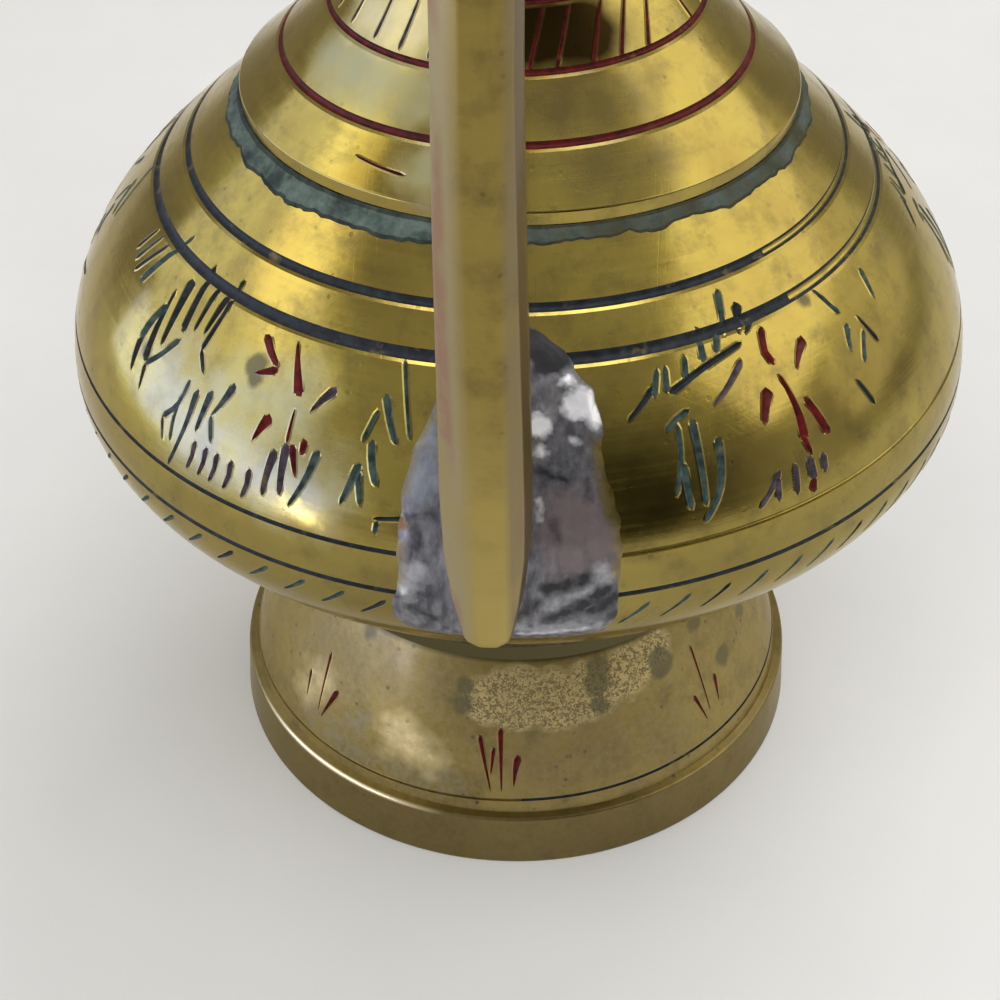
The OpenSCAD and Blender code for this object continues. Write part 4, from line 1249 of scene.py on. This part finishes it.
def make_lower_bowl():
    """Lower half of the bowl, with a row of slanted strokes under the seam."""
    top = lower_line.length
    hatch = [
        (TEAL if i % 4 else BLACK, (0.5, 0.25), (phi, top - 0.35), (phi - 3.3, top - 2.8))
        for i, phi in enumerate(around(74, 2.2))
    ]
    shell = Shell()
    low_row, high_row, _ = shell.engrave(lower_line, strokes=strokes_on(lower_line, hatch))
    floor_in = floor_z + wall
    inner = [p for p in lower_line.inside(wall, 30) if p[1] > floor_in]
    shell.skin(np.concatenate([[(belly_r, seam_z)], inner, [(0, floor_in)]]), start=high_row)
    shell.skin([(0, floor_z), (waist_r + floor_lap, floor_z)], end=low_row)
    shell.piece("bowl_lower_half", painted("bowl"), "ewer", "bowl_brass", ["lower_bowl"])


def make_foot():
    """Flared foot with its band and step, a fine line and groups of red strokes."""
    strokes = []
    for place, kind in FOOT_PLACES:
        strokes += strokes_on(foot_line, FOOT_STROKES[kind], place)
    band_top = (foot_r - band_draft, band_h)
    back = np.concatenate([
        [(waist_r, waist_z), (waist_r, floor_z), (waist_r - wall, floor_z)], foot_line.inside(wall, 24),
        [(band_top[0] - wall, band_h - wall), (foot_r - wall, 0), (foot_r, 0), band_top, step_edge],
    ])
    # The fine line is bare on the left; its black lacquer from 4 degrees round is painted shade for the dark
    # side of a step edge
    lines = [Ring(1.5, 0.34, BLACK, (-180, 4))]
    back = softened(back, FOOT_EDGE)
    engraved("foot_shell", foot_line, lines, strokes, back, "foot", "ewer", "foot_brass", ["foot"])


def make_neck_cone():
    """Base of the neck: its upright edge, three red lines and a row of strokes between the upper two."""
    lines = [Ring(s, width, DARK_RED, None, LEDGE) for s, width in ((5.75, 0.7), (12.1, 0.6), (18.2, 0.55))]
    flutes = [(DARK_RED, (0.2, 0.3), (-32.5, 2.5), (-27, 2.2), (-20.5, 2.0))]
    for phi in FLUTES:
        lean = 0.14 * (phi + 30) if phi < 60 else 0
        tint = DARK_RED if 0 < phi < 160 else PURPLE
        flutes.append((tint, (0.22, 0.38), (phi, 17.8), (phi - lean, 12.45)))
    nr, nz = (float(n) for n in cone_line.normal(0.0))
    turn = np.linspace(0, math.atan2(nz, nr), 6)
    edge = np.column_stack([np.cos(turn) - nr, np.sin(turn) - nz]) * SKIRT_EDGE + [shoulder_r, skirt_z]
    back = softened(np.concatenate([
        [(neck_r, knop_z - knop_r), (neck_r, knop_z), (neck_r - wall, knop_z)], cone_line.inside(wall, 30),
        [(shoulder_r - wall, shoulder_z), (edge[0, 0], shoulder_z)], edge,
    ]), NECK_EDGE)
    strokes = strokes_on(cone_line, flutes)
    engraved("neck_base", cone_line, lines, strokes, back, "neck", "ewer", "neck_brass", ["neck_cone"])


def make_neck_tube():
    """Knop and tube, with two red lines."""
    knop = half_round(neck_r, knop_z, knop_r, 17)
    lathe("neck_ring", knop, [M["neck"]], "ewer", "neck_brass", ["neck_knop"])
    lines = [Ring(3.2, 0.6, RED), Ring(20.5, 0.6, RED)]
    back = np.concatenate([
        tube_line.points[-1:], tube_line.inside(wall, 24), [(neck_r - wall, knop_z), (neck_r, knop_z)],
        tube_line.points[:1],
    ])
    engraved("neck_upper_tube", tube_line, lines, (), back, "neck", "ewer", "neck_brass", ["neck_tube"])


def make_mouth():
    """Mouth cup with two lines and a row of red strokes between them, and the bead on its rim."""
    upright = [(cup_r, z) for z in np.linspace(band_z, rim_z, 30)[1:]]
    line = Outline(np.concatenate([cup_line.points, upright]))
    top = line.length
    bars = [(RED, (0.3, 0.6), (phi, top - 2.2), (phi, top - 6.2)) for phi in around(30, 6)]
    lines = [Ring(top - 7.1, 0.8, BLACK), Ring(top - 1.4, 0.8, BLACK)]
    inner = cup_line.inside(wall, 20)
    back = np.concatenate([[(cup_r, rim_z), (mouth_r, rim_z)], inner, cup_line.points[:1]])
    strokes = strokes_on(line, bars)
    engraved("mouth_bowl", line, lines, strokes, back, "neck", "ewer", "neck_brass", ["mouth_cup"])

    half = (rim_top - rim_z) / 2
    bead = half_round(rim_r - half, rim_z + half, half, 15)
    outline = np.concatenate([[(mouth_r, rim_z)], bead, [(mouth_r, rim_top), (mouth_r, rim_z + half)]])
    lathe("mouth_rim", softened(outline, NECK_EDGE), [M["neck"]], "ewer", "neck_brass", ["rim_bead"])


def make_lid():
    """Lid with two lines on its dome and a row of red strokes between them."""
    petals = [(RED, (0.6, 0.2), (phi, 4.6), (phi, 9.0)) for phi in around(20, 9)]
    lines = [Ring(3.4, 0.8, BLACK), Ring(10.2, 0.7, BLACK)]
    back = np.concatenate([
        [(finial_base_r, crown_z), (tenon_r, crown_z), (tenon_r, crown_z - lid_wall)],
        dome_line.inside(lid_wall, 24),
        [(dome_r - lid_wall, lid_z), (lid_r, lid_z), (lid_r, brim_z), (dome_r, brim_z)],
    ])
    strokes, back = strokes_on(dome_line, petals), softened(back, LID_EDGE)
    engraved("lid_shell", dome_line, lines, strokes, back, "lid", "lid", "lid_brass", ["lid"])


def make_finial():
    """Turned finial: the peened end of its tenon, its base, a pear-shaped knob and a small cap."""
    head_r, head_z = tenon_r + 0.6, finial_low + 0.6
    cap_r, cap_z = 1.4, finial_top - 3.4
    stem_z = crown_z + 4
    base_z = crown_z + lid_wall * 2 / 3
    outline = np.concatenate([
        [(0, finial_low), (head_r, finial_low), (head_r, head_z), (tenon_r, head_z)],
        [(tenon_r, crown_z), (finial_base_r, crown_z)],
        bend((finial_base_r, base_z), 170, 0.45, (tenon_r, stem_z), 90, 0.4, 16),
        bezier([(tenon_r, stem_z), (6.665, stem_z + 1), (4.99, cap_z - 2.7), (cap_r, cap_z)], 40)[1:],
        bezier([(cap_r, cap_z), (2.2, cap_z + 1), (1.6, finial_top - 0.6), (0, finial_top)], 20)[1:],
    ])
    outline = softened(outline, FINIAL_EDGE)
    lathe("lid_finial", outline, [M["lid"]], "lid", "lid_brass", ["finial"], 96, closed=False)


# Handle

handle_t = 6.2
handle_tip = 4.3
handle_low_w = 7.3
handle_mid_w = 5.8
handle_top_w = 2 * high("handle").x
handle_z = high("handle").z - handle_t / 2
handle_start = np.array([belly_r + 0.8 + handle_tip / 2, seam_z + 0.7])
handle_back = np.array([reach - handle_t / 2, seam_z + 57])
handle_end = np.array([-high("handle").y, handle_z])
handle_turn = handle_end + np.array([25.4, 0])
# Middle line of its upright part, its shoulder and its level part, as [distance from the axis, height]
handle_side = bend(handle_start, 87, 0.26, handle_back, 90, 0.31, 90)
handle_shoulder = bend(handle_back, 90, 0.53, handle_turn, 180, 0.32, 50)
handle_level = np.linspace(handle_turn, handle_end, 24)
# Width and thickness along those three parts
HANDLE_WIDTHS = np.array([
    (0, handle_tip), (0.1, 5.9), (0.22, 7.05), (0.34, handle_low_w - 0.15),
    (1, handle_mid_w), (2, handle_mid_w), (3, handle_top_w),
])
HANDLE_DEPTHS = np.array([(0, handle_tip), (0.1, 5.3), (0.22, 6.05), (0.3, handle_t)])
# Rounding of its lower end: how far below the start of the line, and how much narrower
HANDLE_TIP_ROUND = [(0.8, 1.2), (0.7, 0.8), (0.4, 0.3)]
# Bevels as [across, deep]: the inner two, and those left and right of the outer face
INNER_BEVEL = (1.25, 1.25)
LEFT_BEVEL = (1.9, 1.1)
RIGHT_BEVEL = (1.35, 1.25)
# How far the right side leans in towards the outer face
RIGHT_LEAN = 0.5
# How much the file took off here and there, as a share of the section
FILED = 0.014


def handle_section(w, h):
    """Outline across the handle, with rounded edges between its faces and bevels."""
    x, y, taper = w / 2, h / 2, min(1, h / handle_t)
    (lx, ly), (rx, ry), (ix, iy) = (np.array(b) * taper for b in (LEFT_BEVEL, RIGHT_BEVEL, INNER_BEVEL))
    lean = RIGHT_LEAN * taper
    loop = [
        (x - rx - lean, y), (x - lean, y - 0.8 * ry), (x, 0.1 * y), (x, iy - y), (x - ix, -y),
        (ix - x, -y), (-x, iy - y), (-x, y - ly), (lx - x, y),
    ]
    return softened(loop[-1:] + loop + loop[:1], 0.8, 4, 5)[1:-1]


def across_handle(p, v, x, y):
    """A point of a section that lies across the handle's line, which has the direction v at p."""
    return x, -(p[0] + y * v[1]), p[1] - y * v[0]


def make_handle():
    """The bevelled bar from its tapered lower end over its shoulder to the mouth cup."""
    line = np.concatenate([handle_side, handle_shoulder[1:], handle_level[1:]])
    parts = enumerate((handle_side, handle_shoulder, handle_level))
    u = np.concatenate([i + np.linspace(0, 1, len(part))[min(i, 1):] for i, part in parts])
    width, depth = (np.interp(u, *table.T) for table in (HANDLE_WIDTHS, HANDLE_DEPTHS))
    ways = directions(line)
    stations = [
        (handle_start - back * ways[0], ways[0], handle_tip - less, handle_tip - less)
        for back, less in HANDLE_TIP_ROUND
    ]
    rings = []
    for p, v, w, h in stations + list(zip(line, ways, width, depth)):
        ring = []
        for x, y in handle_section(w, h):
            q = across_handle(p, v, x, y)
            worn = 1 - FILED * (1 + 0.7 * rough(q, 9, 3) + 0.3 * rough(q, 2.5, 7))
            ring.append(across_handle(p, v, x * worn, y * worn))
        rings.append(ring)
    loft("handle_bar", rings, [M["handle"]], ["handle"], 60)


# Spout

tip_drop = 19
spout_lean = math.radians(24)
spout_root_r = 8.6
spout_tip_r = 4.4
lip_r = 0.9
lip_ring_r = spout_tip_r - spout_wall / 2
fillet_w = 1.6
SPOUT_SIDES = 56
SPOUT_RINGS = 64
# Turned lines near the spout's tip, as shares of its length; their depth, and their shape across
SPOUT_LINES = (0.87, 0.93)
SPOUT_CUT = 0.24
SPOUT_GROOVE = [(-0.006, 0), (-0.003, 0.7), (0, 1), (0.003, 0.7), (0.006, 0)]
root = np.array(upper_line.at(root_s))
root_way = np.array([0, *upper_line.normal(root_s)])
root_angle = math.degrees(math.atan2(root_way[2], root_way[1]))
spout_tip = np.array([reach - lip_ring_r * math.cos(spout_lean) - lip_r, rim_z - tip_drop])
spout_mid = np.array([belly_r + 5.6, (seam_z + spout_tip[1]) / 2])
spout_line = np.concatenate([
    bend(root, root_angle, 0.5, spout_mid, 91, 0.42, 200),
    bend(spout_mid, 91, 0.45, spout_tip, 90 - math.degrees(spout_lean), 0.35, 200)[1:],
])
spout_ways = directions(spout_line)
taper = [[spout_root_r], [0.72 * spout_root_r], [1.15 * spout_tip_r], [spout_tip_r]]
spout_radii = bezier(taper, len(spout_line))[:, 0]


def spout_ring(t, thinner=0.0, radius=None):
    """Circle across the spout's line at t."""
    at = np.linspace(0, 1, len(spout_line))
    p = [np.interp(t, at, column) for column in spout_line.T]
    v = [np.interp(t, at, column) for column in spout_ways.T]
    r = (np.interp(t, at, spout_radii) if radius is None else radius) - thinner
    a = np.linspace(0, 2 * math.pi, SPOUT_SIDES, endpoint=False)
    return np.column_stack([r * np.sin(a), p[0] + r * np.cos(a) * v[1], p[1] - r * np.cos(a) * v[0]])


def root_ring(radius, lift=0.0):
    """Circle round the spout's root, let down to a height above the bowl."""
    ring = spout_ring(0, radius=radius)
    near, far = np.full(SPOUT_SIDES, -12.0), np.full(SPOUT_SIDES, 12.0)
    for _ in range(30):
        middle = (near + far) / 2
        p = ring + middle[:, None] * root_way
        inside = np.hypot(p[:, 0], p[:, 1]) < bowl_line.r_at(p[:, 2])
        near, far = np.where(inside, middle, near), np.where(inside, far, middle)
    return ring + (near + lift)[:, None] * root_way


def make_spout():
    """The hollow S-shaped spout, with two lines near its tip."""
    stations = [(t, 0.0) for t in np.linspace(0, 1, SPOUT_RINGS)[1:]]
    for line in SPOUT_LINES:
        stations = [(t, cut) for t, cut in stations if abs(t - line) > 0.009]
        stations += [(line + away, share * SPOUT_CUT) for away, share in SPOUT_GROOVE]
    rings = [root_ring(spout_root_r)] + [spout_ring(t, cut) for t, cut in sorted(stations)]
    rings += [spout_ring(t, spout_wall) for t in np.linspace(1, 0, SPOUT_RINGS)[:-1]]
    rings += [root_ring(spout_root_r - spout_wall)]
    loft("spout_tube", rings, [M["spout"]], ["spout"], 50, closed=True)


def make_spout_rim():
    """Half-round lip on the spout's tip."""
    centre = np.array([0, *spout_tip])
    across = spout_ring(1, radius=1) - centre
    up = np.array([0, math.sin(spout_lean), math.cos(spout_lean)])
    turn = np.radians(np.linspace(0, 180, 13))
    rings = [centre + across * (lip_ring_r + lip_r * math.cos(a)) + up * lip_r * math.sin(a) for a in turn]
    loft("spout_rim", rings, [M["spout"]], ["spout_lip"], 60, closed=True)


# Fillet round the spout's root: how it hollows, the place on the spout's line to which it climbs, and the
# share of that climb; how far it stands off the bowl, and the height of its lumps
ROOT_HOLLOW = 1.6
ROOT_CLIMB_T = 0.045
ROOT_CLIMB = 0.62
ROOT_LIFT = 0.06
ROOT_LUMP = 0.16


def make_spout_fillet():
    """Fillet of solder round the spout's root."""
    climb = spout_ring(ROOT_CLIMB_T) - root_ring(spout_root_r, ROOT_LIFT / 2)
    rings = [root_ring(spout_root_r - 0.5, -0.3)]
    for share in np.linspace(0, 1, 9):
        wide = root_ring(spout_root_r + fillet_w * (1 - share) ** ROOT_HOLLOW, ROOT_LIFT)
        ring = wide + climb * ROOT_CLIMB * share ** ROOT_HOLLOW
        lumps = np.array([ROOT_LUMP * rough(q, 2.2, 5) * math.sin(math.pi * share) for q in ring])
        rings.append(ring + lumps[:, None] * root_way)
    loft("spout_fillet", rings, [M["fillet"]], ["spout_solder"], 70, closed=True)


# Solder

# Edges of the solder that ran out beside the handle: length from the seam, and the angles left and right
SMEAR = np.array([
    (-5.2, -6.5, 9.5), (-4.2, -9.5, 12.6), (-2.5, -11.0, 13.6), (0.0, -11.0, 13.8), (2.5, -10.2, 13.8),
    (5.0, -10.4, 14.4), (8.0, -10.6, 14.2), (11.0, -10.4, 13.4), (14.0, -9.8, 12.8), (16.5, -8.6, 13.2),
    (19.5, -7.2, 12.6), (21.2, -6.4, 10.2), (23.0, -5.2, 9.2), (24.4, -4.0, 6.5), (25.0, -2.0, 4.5),
])
SMEAR_COLUMNS = 64
SMEAR_ROWS = 88
# Lumps on it: angle, length from the seam, radius and height
LUMPS = [
    (10.6, 18.0, 2.6, 0.32), (5.4, 16.4, 1.5, 0.35), (9.2, 19.9, 0.8, 0.25), (5.5, 21.5, 2.2, 0.22),
    (-10.0, 6.9, 1.2, 0.3), (-10.2, 1.0, 2.2, 0.2), (8.5, 2.2, 2.0, 0.25), (11.5, -1.5, 2.4, 0.2),
]
# Radius of the bowl by which the angles of the lumps turn into millimetres
LUMP_R = 44
# Its thickness, the least of it, the width over which its edges thin out, the share that is left at the very
# edge, and how far its back reaches into the bowl
SMEAR_COAT = 0.09
SMEAR_LEAST = 0.02
SMEAR_EDGE = 0.9
SMEAR_TIP = 0.02
SMEAR_SUNK = 0.15


def smear_row(s):
    """A row of points on the outside of the solder, and the one behind it in the bowl's wall."""
    start, left, right = SMEAR.T
    left = np.interp(s, start, left) + 0.5 * rough((s, 0, 0), 1.9, 11)
    right = np.interp(s, start, right) + 0.6 * rough((s, 0, 0), 1.9, 23)
    phi, run = np.linspace(left, right, SMEAR_COLUMNS), np.full(SMEAR_COLUMNS, s)
    spots = bowl_line.place(phi, run)
    edge = np.minimum(phi - phi[0], phi[-1] - phi) * 0.75
    edge = np.minimum(edge, min(s - start[0], start[-1] - s))
    coat = np.array([SMEAR_COAT + 0.05 * rough(q, 1.8, 2) + 0.025 * rough(q, 0.7, 9) for q in spots])
    for at, high_s, radius, height in LUMPS:
        away = np.hypot(np.radians(phi - at) * LUMP_R, s - high_s) / radius
        coat += height * np.clip(1.25 - away, 0, 0.55)
    coat = np.maximum(coat, SMEAR_LEAST) * np.clip(edge / SMEAR_EDGE, SMEAR_TIP, 1)
    return bowl_line.place(phi, run, coat), bowl_line.place(phi, run, -SMEAR_SUNK)


def make_smear():
    """Solder under the handle's lower end and the thin coat that ran out over the bowl beside it."""
    columns, count = SMEAR_COLUMNS, SMEAR_ROWS
    outside, behind = zip(*[smear_row(s) for s in np.linspace(SMEAR[0, 0], SMEAR[-1, 0], count)])
    half = columns * count
    faces = []
    for i in range(count - 1):
        for j in range(columns - 1):
            a = i * columns + j
            faces.append([a, a + 1, a + columns + 1, a + columns])
            faces.append([half + a + columns, half + a + columns + 1, half + a + 1, half + a])
    rim = list(range(columns)) + [i * columns + columns - 1 for i in range(1, count)]
    rim += [half - 1 - j for j in range(1, columns)] + [i * columns for i in range(count - 2, 0, -1)]
    for a, b in zip(rim, rim[1:] + rim[:1]):
        faces.append([b, a, half + a, half + b])
    points = np.concatenate(outside + behind)
    smooth_piece("solder_smear", points, faces, [M["solder"]], "ewer", ["handle_low_solder"], 75)


# Solder between the bowl and the handle: its lower and upper end above the seam, half its width at the
# handle, how much that grows at the bowl and wavers, and how far it reaches into the handle and the bowl
BRIDGE_ENDS = (1.5, 6.9)
BRIDGE_HALF = 2.1
BRIDGE_FLARE = 1.4
BRIDGE_WAVER = 0.12
BRIDGE_BITE = 0.35
BRIDGE_SUNK = 0.2
# Half the thickness of the handle, by the height above the seam
HANDLE_HALF = np.array([(0.7, 2.15), (13.2, 3.1)])


def make_bridge():
    """Solder between the bowl and the lower end of the handle."""
    rings = []
    bottom, top = BRIDGE_ENDS
    for z in np.linspace(seam_z + bottom, seam_z + top, 24):
        thick = np.interp(z, seam_z + HANDLE_HALF[:, 0], HANDLE_HALF[:, 1])
        outer = np.interp(z, handle_side[:, 1], handle_side[:, 0]) - thick + BRIDGE_BITE
        bowl = bowl_line.r_at(z) - BRIDGE_SUNK
        half = []
        for share in np.linspace(0, 1, 8):
            flare = BRIDGE_FLARE * (1 - share) ** 2 + BRIDGE_WAVER * rough((0, share, z), 1.5)
            half.append((-(BRIDGE_HALF + flare), share))
        ring = []
        for x, share in half + [(-x, share) for x, share in half[::-1]]:
            ring.append((x, -(bowl + share * (outer - bowl)) + (1 - share) * x * x / 2 / bowl, z))
        rings.append(ring)
    loft("solder_bridge", rings, [M["solder"]], (), 60)


# Fillet at the mouth cup: how far it stands off the handle, how much wider it is at the cup, how far it
# reaches into the cup and along the handle, and the height of its lumps
TOP_CLEAR = 0.05
TOP_FLARE = 0.16
TOP_SUNK = 0.15
TOP_RUN = 0.35
TOP_LUMP = 0.1


def make_top_solder():
    """Fillet of solder between the handle's upper end and the mouth cup."""
    rings = []
    loop = handle_section(handle_top_w, handle_t)
    grow = 1 + TOP_CLEAR / np.hypot(*loop.T)
    end = handle_end[0] + TOP_RUN
    for share in np.linspace(0, 1, 7):
        wide = (grow * (1 + TOP_FLARE * (1 - share) ** 2))[:, None] * loop
        back = np.sqrt(np.maximum(0, cup_r ** 2 - wide[:, 0] ** 2)) - TOP_SUNK
        y = -(back + share * (end - back))
        lumps = np.array([TOP_LUMP * rough((x, a, z), 1.4, 4) for (x, z), a in zip(wide, y)])
        y += lumps * share * (1 - share) * 4
        rings.append(np.column_stack([wide[:, 0], y, handle_z + wide[:, 1]]))
    loft("handle_fillet", rings, [M["fillet"]], ["handle_top_solder"], 60)


def make_foot_fillet():
    """The hollow fillet of solder under the bowl."""
    height = 1.6
    top = np.array(lower_line.at(lower_line.s_at(floor_z + height)))
    start = np.array([waist_r, floor_z - height])
    hollow = bezier([start, start + [0.1, 0.9], top - [0.9, 0.75], top], 10)
    under = [(waist_r + floor_lap - 0.2, floor_z + 0.1), (waist_r - 0.2, floor_z - 0.1)]
    lathe("foot_fillet", np.concatenate([hollow, under]), [M["fillet"]], "ewer", "solder", ["foot_solder"])


CRUST_COLUMNS = 360
CRUST_ROWS = 14
# Width of the crust round the neck, and where it is wider or narrower: angle, reach in degrees and amount
CRUST_W = 1.75
CRUST_SWELLS = [(318, 34, 0.75), (22, 22, -0.35)]
# Height at its lower border, how much higher it is at the neck, and the height of its lumps
CRUST_LOW = 0.05
CRUST_RISE = 0.3
CRUST_LUMP = 0.3
# Rows of the crust that are bright; those at its borders are dark
CRUST_BRIGHT = range(2, 11)


def crust_section(phi):
    """Outline across the crusted solder round the neck at an angle: wider in places, lumpy and ragged."""
    a = math.radians(phi)
    spot = np.array([math.sin(a), -math.cos(a), 0]) * shoulder_r
    swell = sum(amount * math.exp(-((phi - at) / wide) ** 2) for at, wide, amount in CRUST_SWELLS)
    width = CRUST_W + swell + 0.5 * rough(spot, 3.4, 1) + 0.3 * rough(spot, 0.9, 6)
    section = []
    for share in np.linspace(0, 1, CRUST_ROWS):
        s = upper_line.length - width * (1 - share)
        (r, z), (nr, nz) = upper_line.at(s), upper_line.normal(s)
        lump = 0.5 + 0.5 * rough((spot[0], spot[1], 3 * share), 1.1, 8)
        lump += 0.3 * rough((spot[0], spot[1], s), 0.5, 2)
        lift = CRUST_LOW + CRUST_RISE * share ** 1.5 + CRUST_LUMP * lump * share * (1 - share)
        lift *= min(1, share * 6 + 0.1)
        section.append((r + lift * nr, z + lift * nz))
    crest = shoulder_z + 0.22 + 0.18 * rough(spot, 2.0, 15)
    inner_r = shoulder_r - 0.3
    section += [(shoulder_r + 0.03, crest), (inner_r, shoulder_z + 0.2), (inner_r, shoulder_z - 0.3)]
    r, z = upper_line.at(upper_line.length - width)
    return section + [(r - 0.2, z - 0.3)]


def make_neck_seam():
    """The crusted ring of solder round the base of the neck."""
    rings = []
    for phi in np.arange(CRUST_COLUMNS) * 360 / CRUST_COLUMNS:
        r, z = np.array(crust_section(phi)).T
        rings.append(turned(np.full(len(r), phi), r, z))
    coats = [M["verdigris"], M["dark_crust"]]
    seam = loft("neck_seam", rings, coats, ["neck_solder"], 80, closed=True)
    border = [int(i not in CRUST_BRIGHT) for i in range(len(rings[0]))]
    seam.data.polygons.foreach_set("material_index", border * CRUST_COLUMNS)


# CAD nodes that stay, and their finishes

KEPT_NODES = {
    "hinge_bracket": "hinge", "hinge_pin": "hinge", "lid_leaf": "hinge", "lid_flange": "lid",
    "finial_washer": "hinge",
}
WELD_GAP = 0.01 * MM
NODE_EDGE = 0.25 * MM


def finish_nodes():
    """Finishes of the CAD nodes that are shown, with softened edges."""
    for name, finish in KEPT_NODES.items():
        node = NODES[name]
        node.data.materials.clear()
        node.data.materials.append(M[finish])
        weld = node.modifiers.new("weld", "WELD")
        weld.merge_threshold = WELD_GAP
        bevel = node.modifiers.new("bevel", "BEVEL")
        bevel.width, bevel.segments, bevel.limit_method = NODE_EDGE, 3, "ANGLE"
        bevel.angle_limit = math.radians(SHARP)
        bevel.harden_normals = True


# Camera, light and floor

TABLE_HALF = 0.9
# Lamps round the ewer: kind, azimuth from the handle and elevation in degrees, distance, width and height
# in metres, radiance, tint. A gleam lamp is seen in reflections only. A shade lamp and the fill, which
# casts no shadow, are not seen in them.
LAMPS = {
    "left_low": ("gleam", -76, 2, 0.50, 0.70, 0.17, 2.9, (0.44, 0.53, 1.0)),
    "left_gleam": ("gleam", -46, -6, 0.50, 0.06, 0.07, 6.0, (1.0, 0.90, 0.62)),
    "left_window": ("gleam", -88, 29, 0.60, 0.68, 0.36, 1.1, (0.80, 0.88, 1.0)),
    "left_spot": ("gleam", -83, 42, 0.60, 0.20, 0.20, 1.2, (1.0, 0.90, 0.5)),
    "right_window": ("gleam", 95, 38, 0.60, 0.60, 0.30, 1.25, (1.0, 0.95, 0.80)),
    "right_low": ("gleam", 108, 13, 0.60, 0.46, 0.20, 0.4, (1.0, 0.94, 0.80)),
    "overhead": ("gleam", 178, 83, 0.90, 0.62, 0.50, 3.0, (1.0, 0.99, 0.97)),
    "right_back": ("shade", 150, 50, 0.80, 0.50, 0.40, 2.2, (1.0, 0.99, 0.97)),
    "fill": ("fill", 12, 62, 1.00, 1.20, 0.90, 1.75, (1.0, 1.0, 0.99)),
}
# What the lamps point at
LAMP_AIM = Vector((0, 0, 0.06))
# Direction in which the room is darkest, its light by the cosine of the angle from there, and its tint
DARK_SIDE = (0.366, -0.907, 0.208)
ROOM = [(0, 0.38), (0.3, 0.44), (0.62, 0.52), (0.76, 0.38), (0.87, 0.15), (0.95, 0.05), (1, 0.03)]
ROOM_TINT = (1, 0.97, 0.92)
# The photograph's camera: place in millimetres, angles in degrees, lens for a sensor of 36 mm
CAMERA_PLACE = (7.6, -164.5, 162.1)
CAMERA_TURN = (50.11, 0, 3.3)
CAMERA_LENS = 68.4


def staged(name, data):
    """Links an object to the scene."""
    item = bpy.data.objects.new(name, data)
    bpy.context.scene.collection.objects.link(item)
    return item


def make_table():
    """Pale table."""
    corners = [(x * TABLE_HALF, y * TABLE_HALF, 0) for x, y in ((-1, -1), (1, -1), (1, 1), (-1, 1))]
    mesh = bpy.data.meshes.new("table")
    mesh.from_pydata(corners, [], [(0, 1, 2, 3)])
    mesh.materials.append(M["table"])
    table = staged("table", mesh)


def make_lamps():
    """Soft light from both sides and overhead."""
    for name, (kind, azimuth, elevation, distance, width, height, radiance, tint) in LAMPS.items():
        data = bpy.data.lights.new(name, "AREA")
        data.shape, data.size, data.size_y = "RECTANGLE", width, height
        data.energy = radiance * 4 * width * height
        data.color = tint
        data.use_shadow = kind != "fill"
        lamp = staged(name, data)
        a, e = math.radians(azimuth), math.radians(elevation)
        way = Vector((math.cos(e) * math.sin(a), -math.cos(e) * math.cos(a), math.sin(e)))
        lamp.location = LAMP_AIM + distance * way
        lamp.rotation_euler = way.to_track_quat("Z", "Y").to_euler()
        lamp.visible_camera = False
        lamp.visible_diffuse = kind != "gleam"
        lamp.visible_glossy = kind == "gleam"


def make_room():
    """Light of the room, which is dark behind the camera."""
    world = bpy.data.worlds.new("room")
    bpy.context.scene.world = world
    world.use_nodes = True
    nodes, link = world.node_tree.nodes, world.node_tree.links.new
    facing = nodes.new("ShaderNodeVectorMath")
    facing.operation = "DOT_PRODUCT"
    facing.inputs[1].default_value = DARK_SIDE
    link(nodes.new("ShaderNodeTexCoord").outputs["Generated"], facing.inputs[0])
    ramp = nodes.new("ShaderNodeValToRGB")
    link(facing.outputs["Value"], ramp.inputs["Fac"])
    stops = ramp.color_ramp.elements
    stops.remove(stops[1])
    for place, grey in ROOM:
        stop = stops[0] if place == 0 else stops.new(place)
        stop.color = (*(grey * tint for tint in ROOM_TINT), 1)
    link(ramp.outputs["Color"], nodes["Background"].inputs["Color"])


def make_camera():
    """The photograph's camera."""
    data = bpy.data.cameras.new("camera")
    data.sensor_width, data.lens = 36, CAMERA_LENS
    data.clip_start = 0.01
    camera = staged("camera", data)
    camera.location = Vector(CAMERA_PLACE) * MM
    camera.rotation_euler = [math.radians(a) for a in CAMERA_TURN]
    bpy.context.scene.camera = camera
    bpy.context.scene.view_settings.view_transform = "Standard"


make_upper_bowl()
make_lower_bowl()
make_foot()
make_neck_cone()
make_neck_tube()
make_mouth()
make_lid()
make_finial()
make_handle()
make_spout()
make_spout_rim()
make_spout_fillet()
make_smear()
make_bridge()
make_top_solder()
make_foot_fillet()
make_neck_seam()
finish_nodes()
make_table()
make_lamps()
make_room()
make_camera()
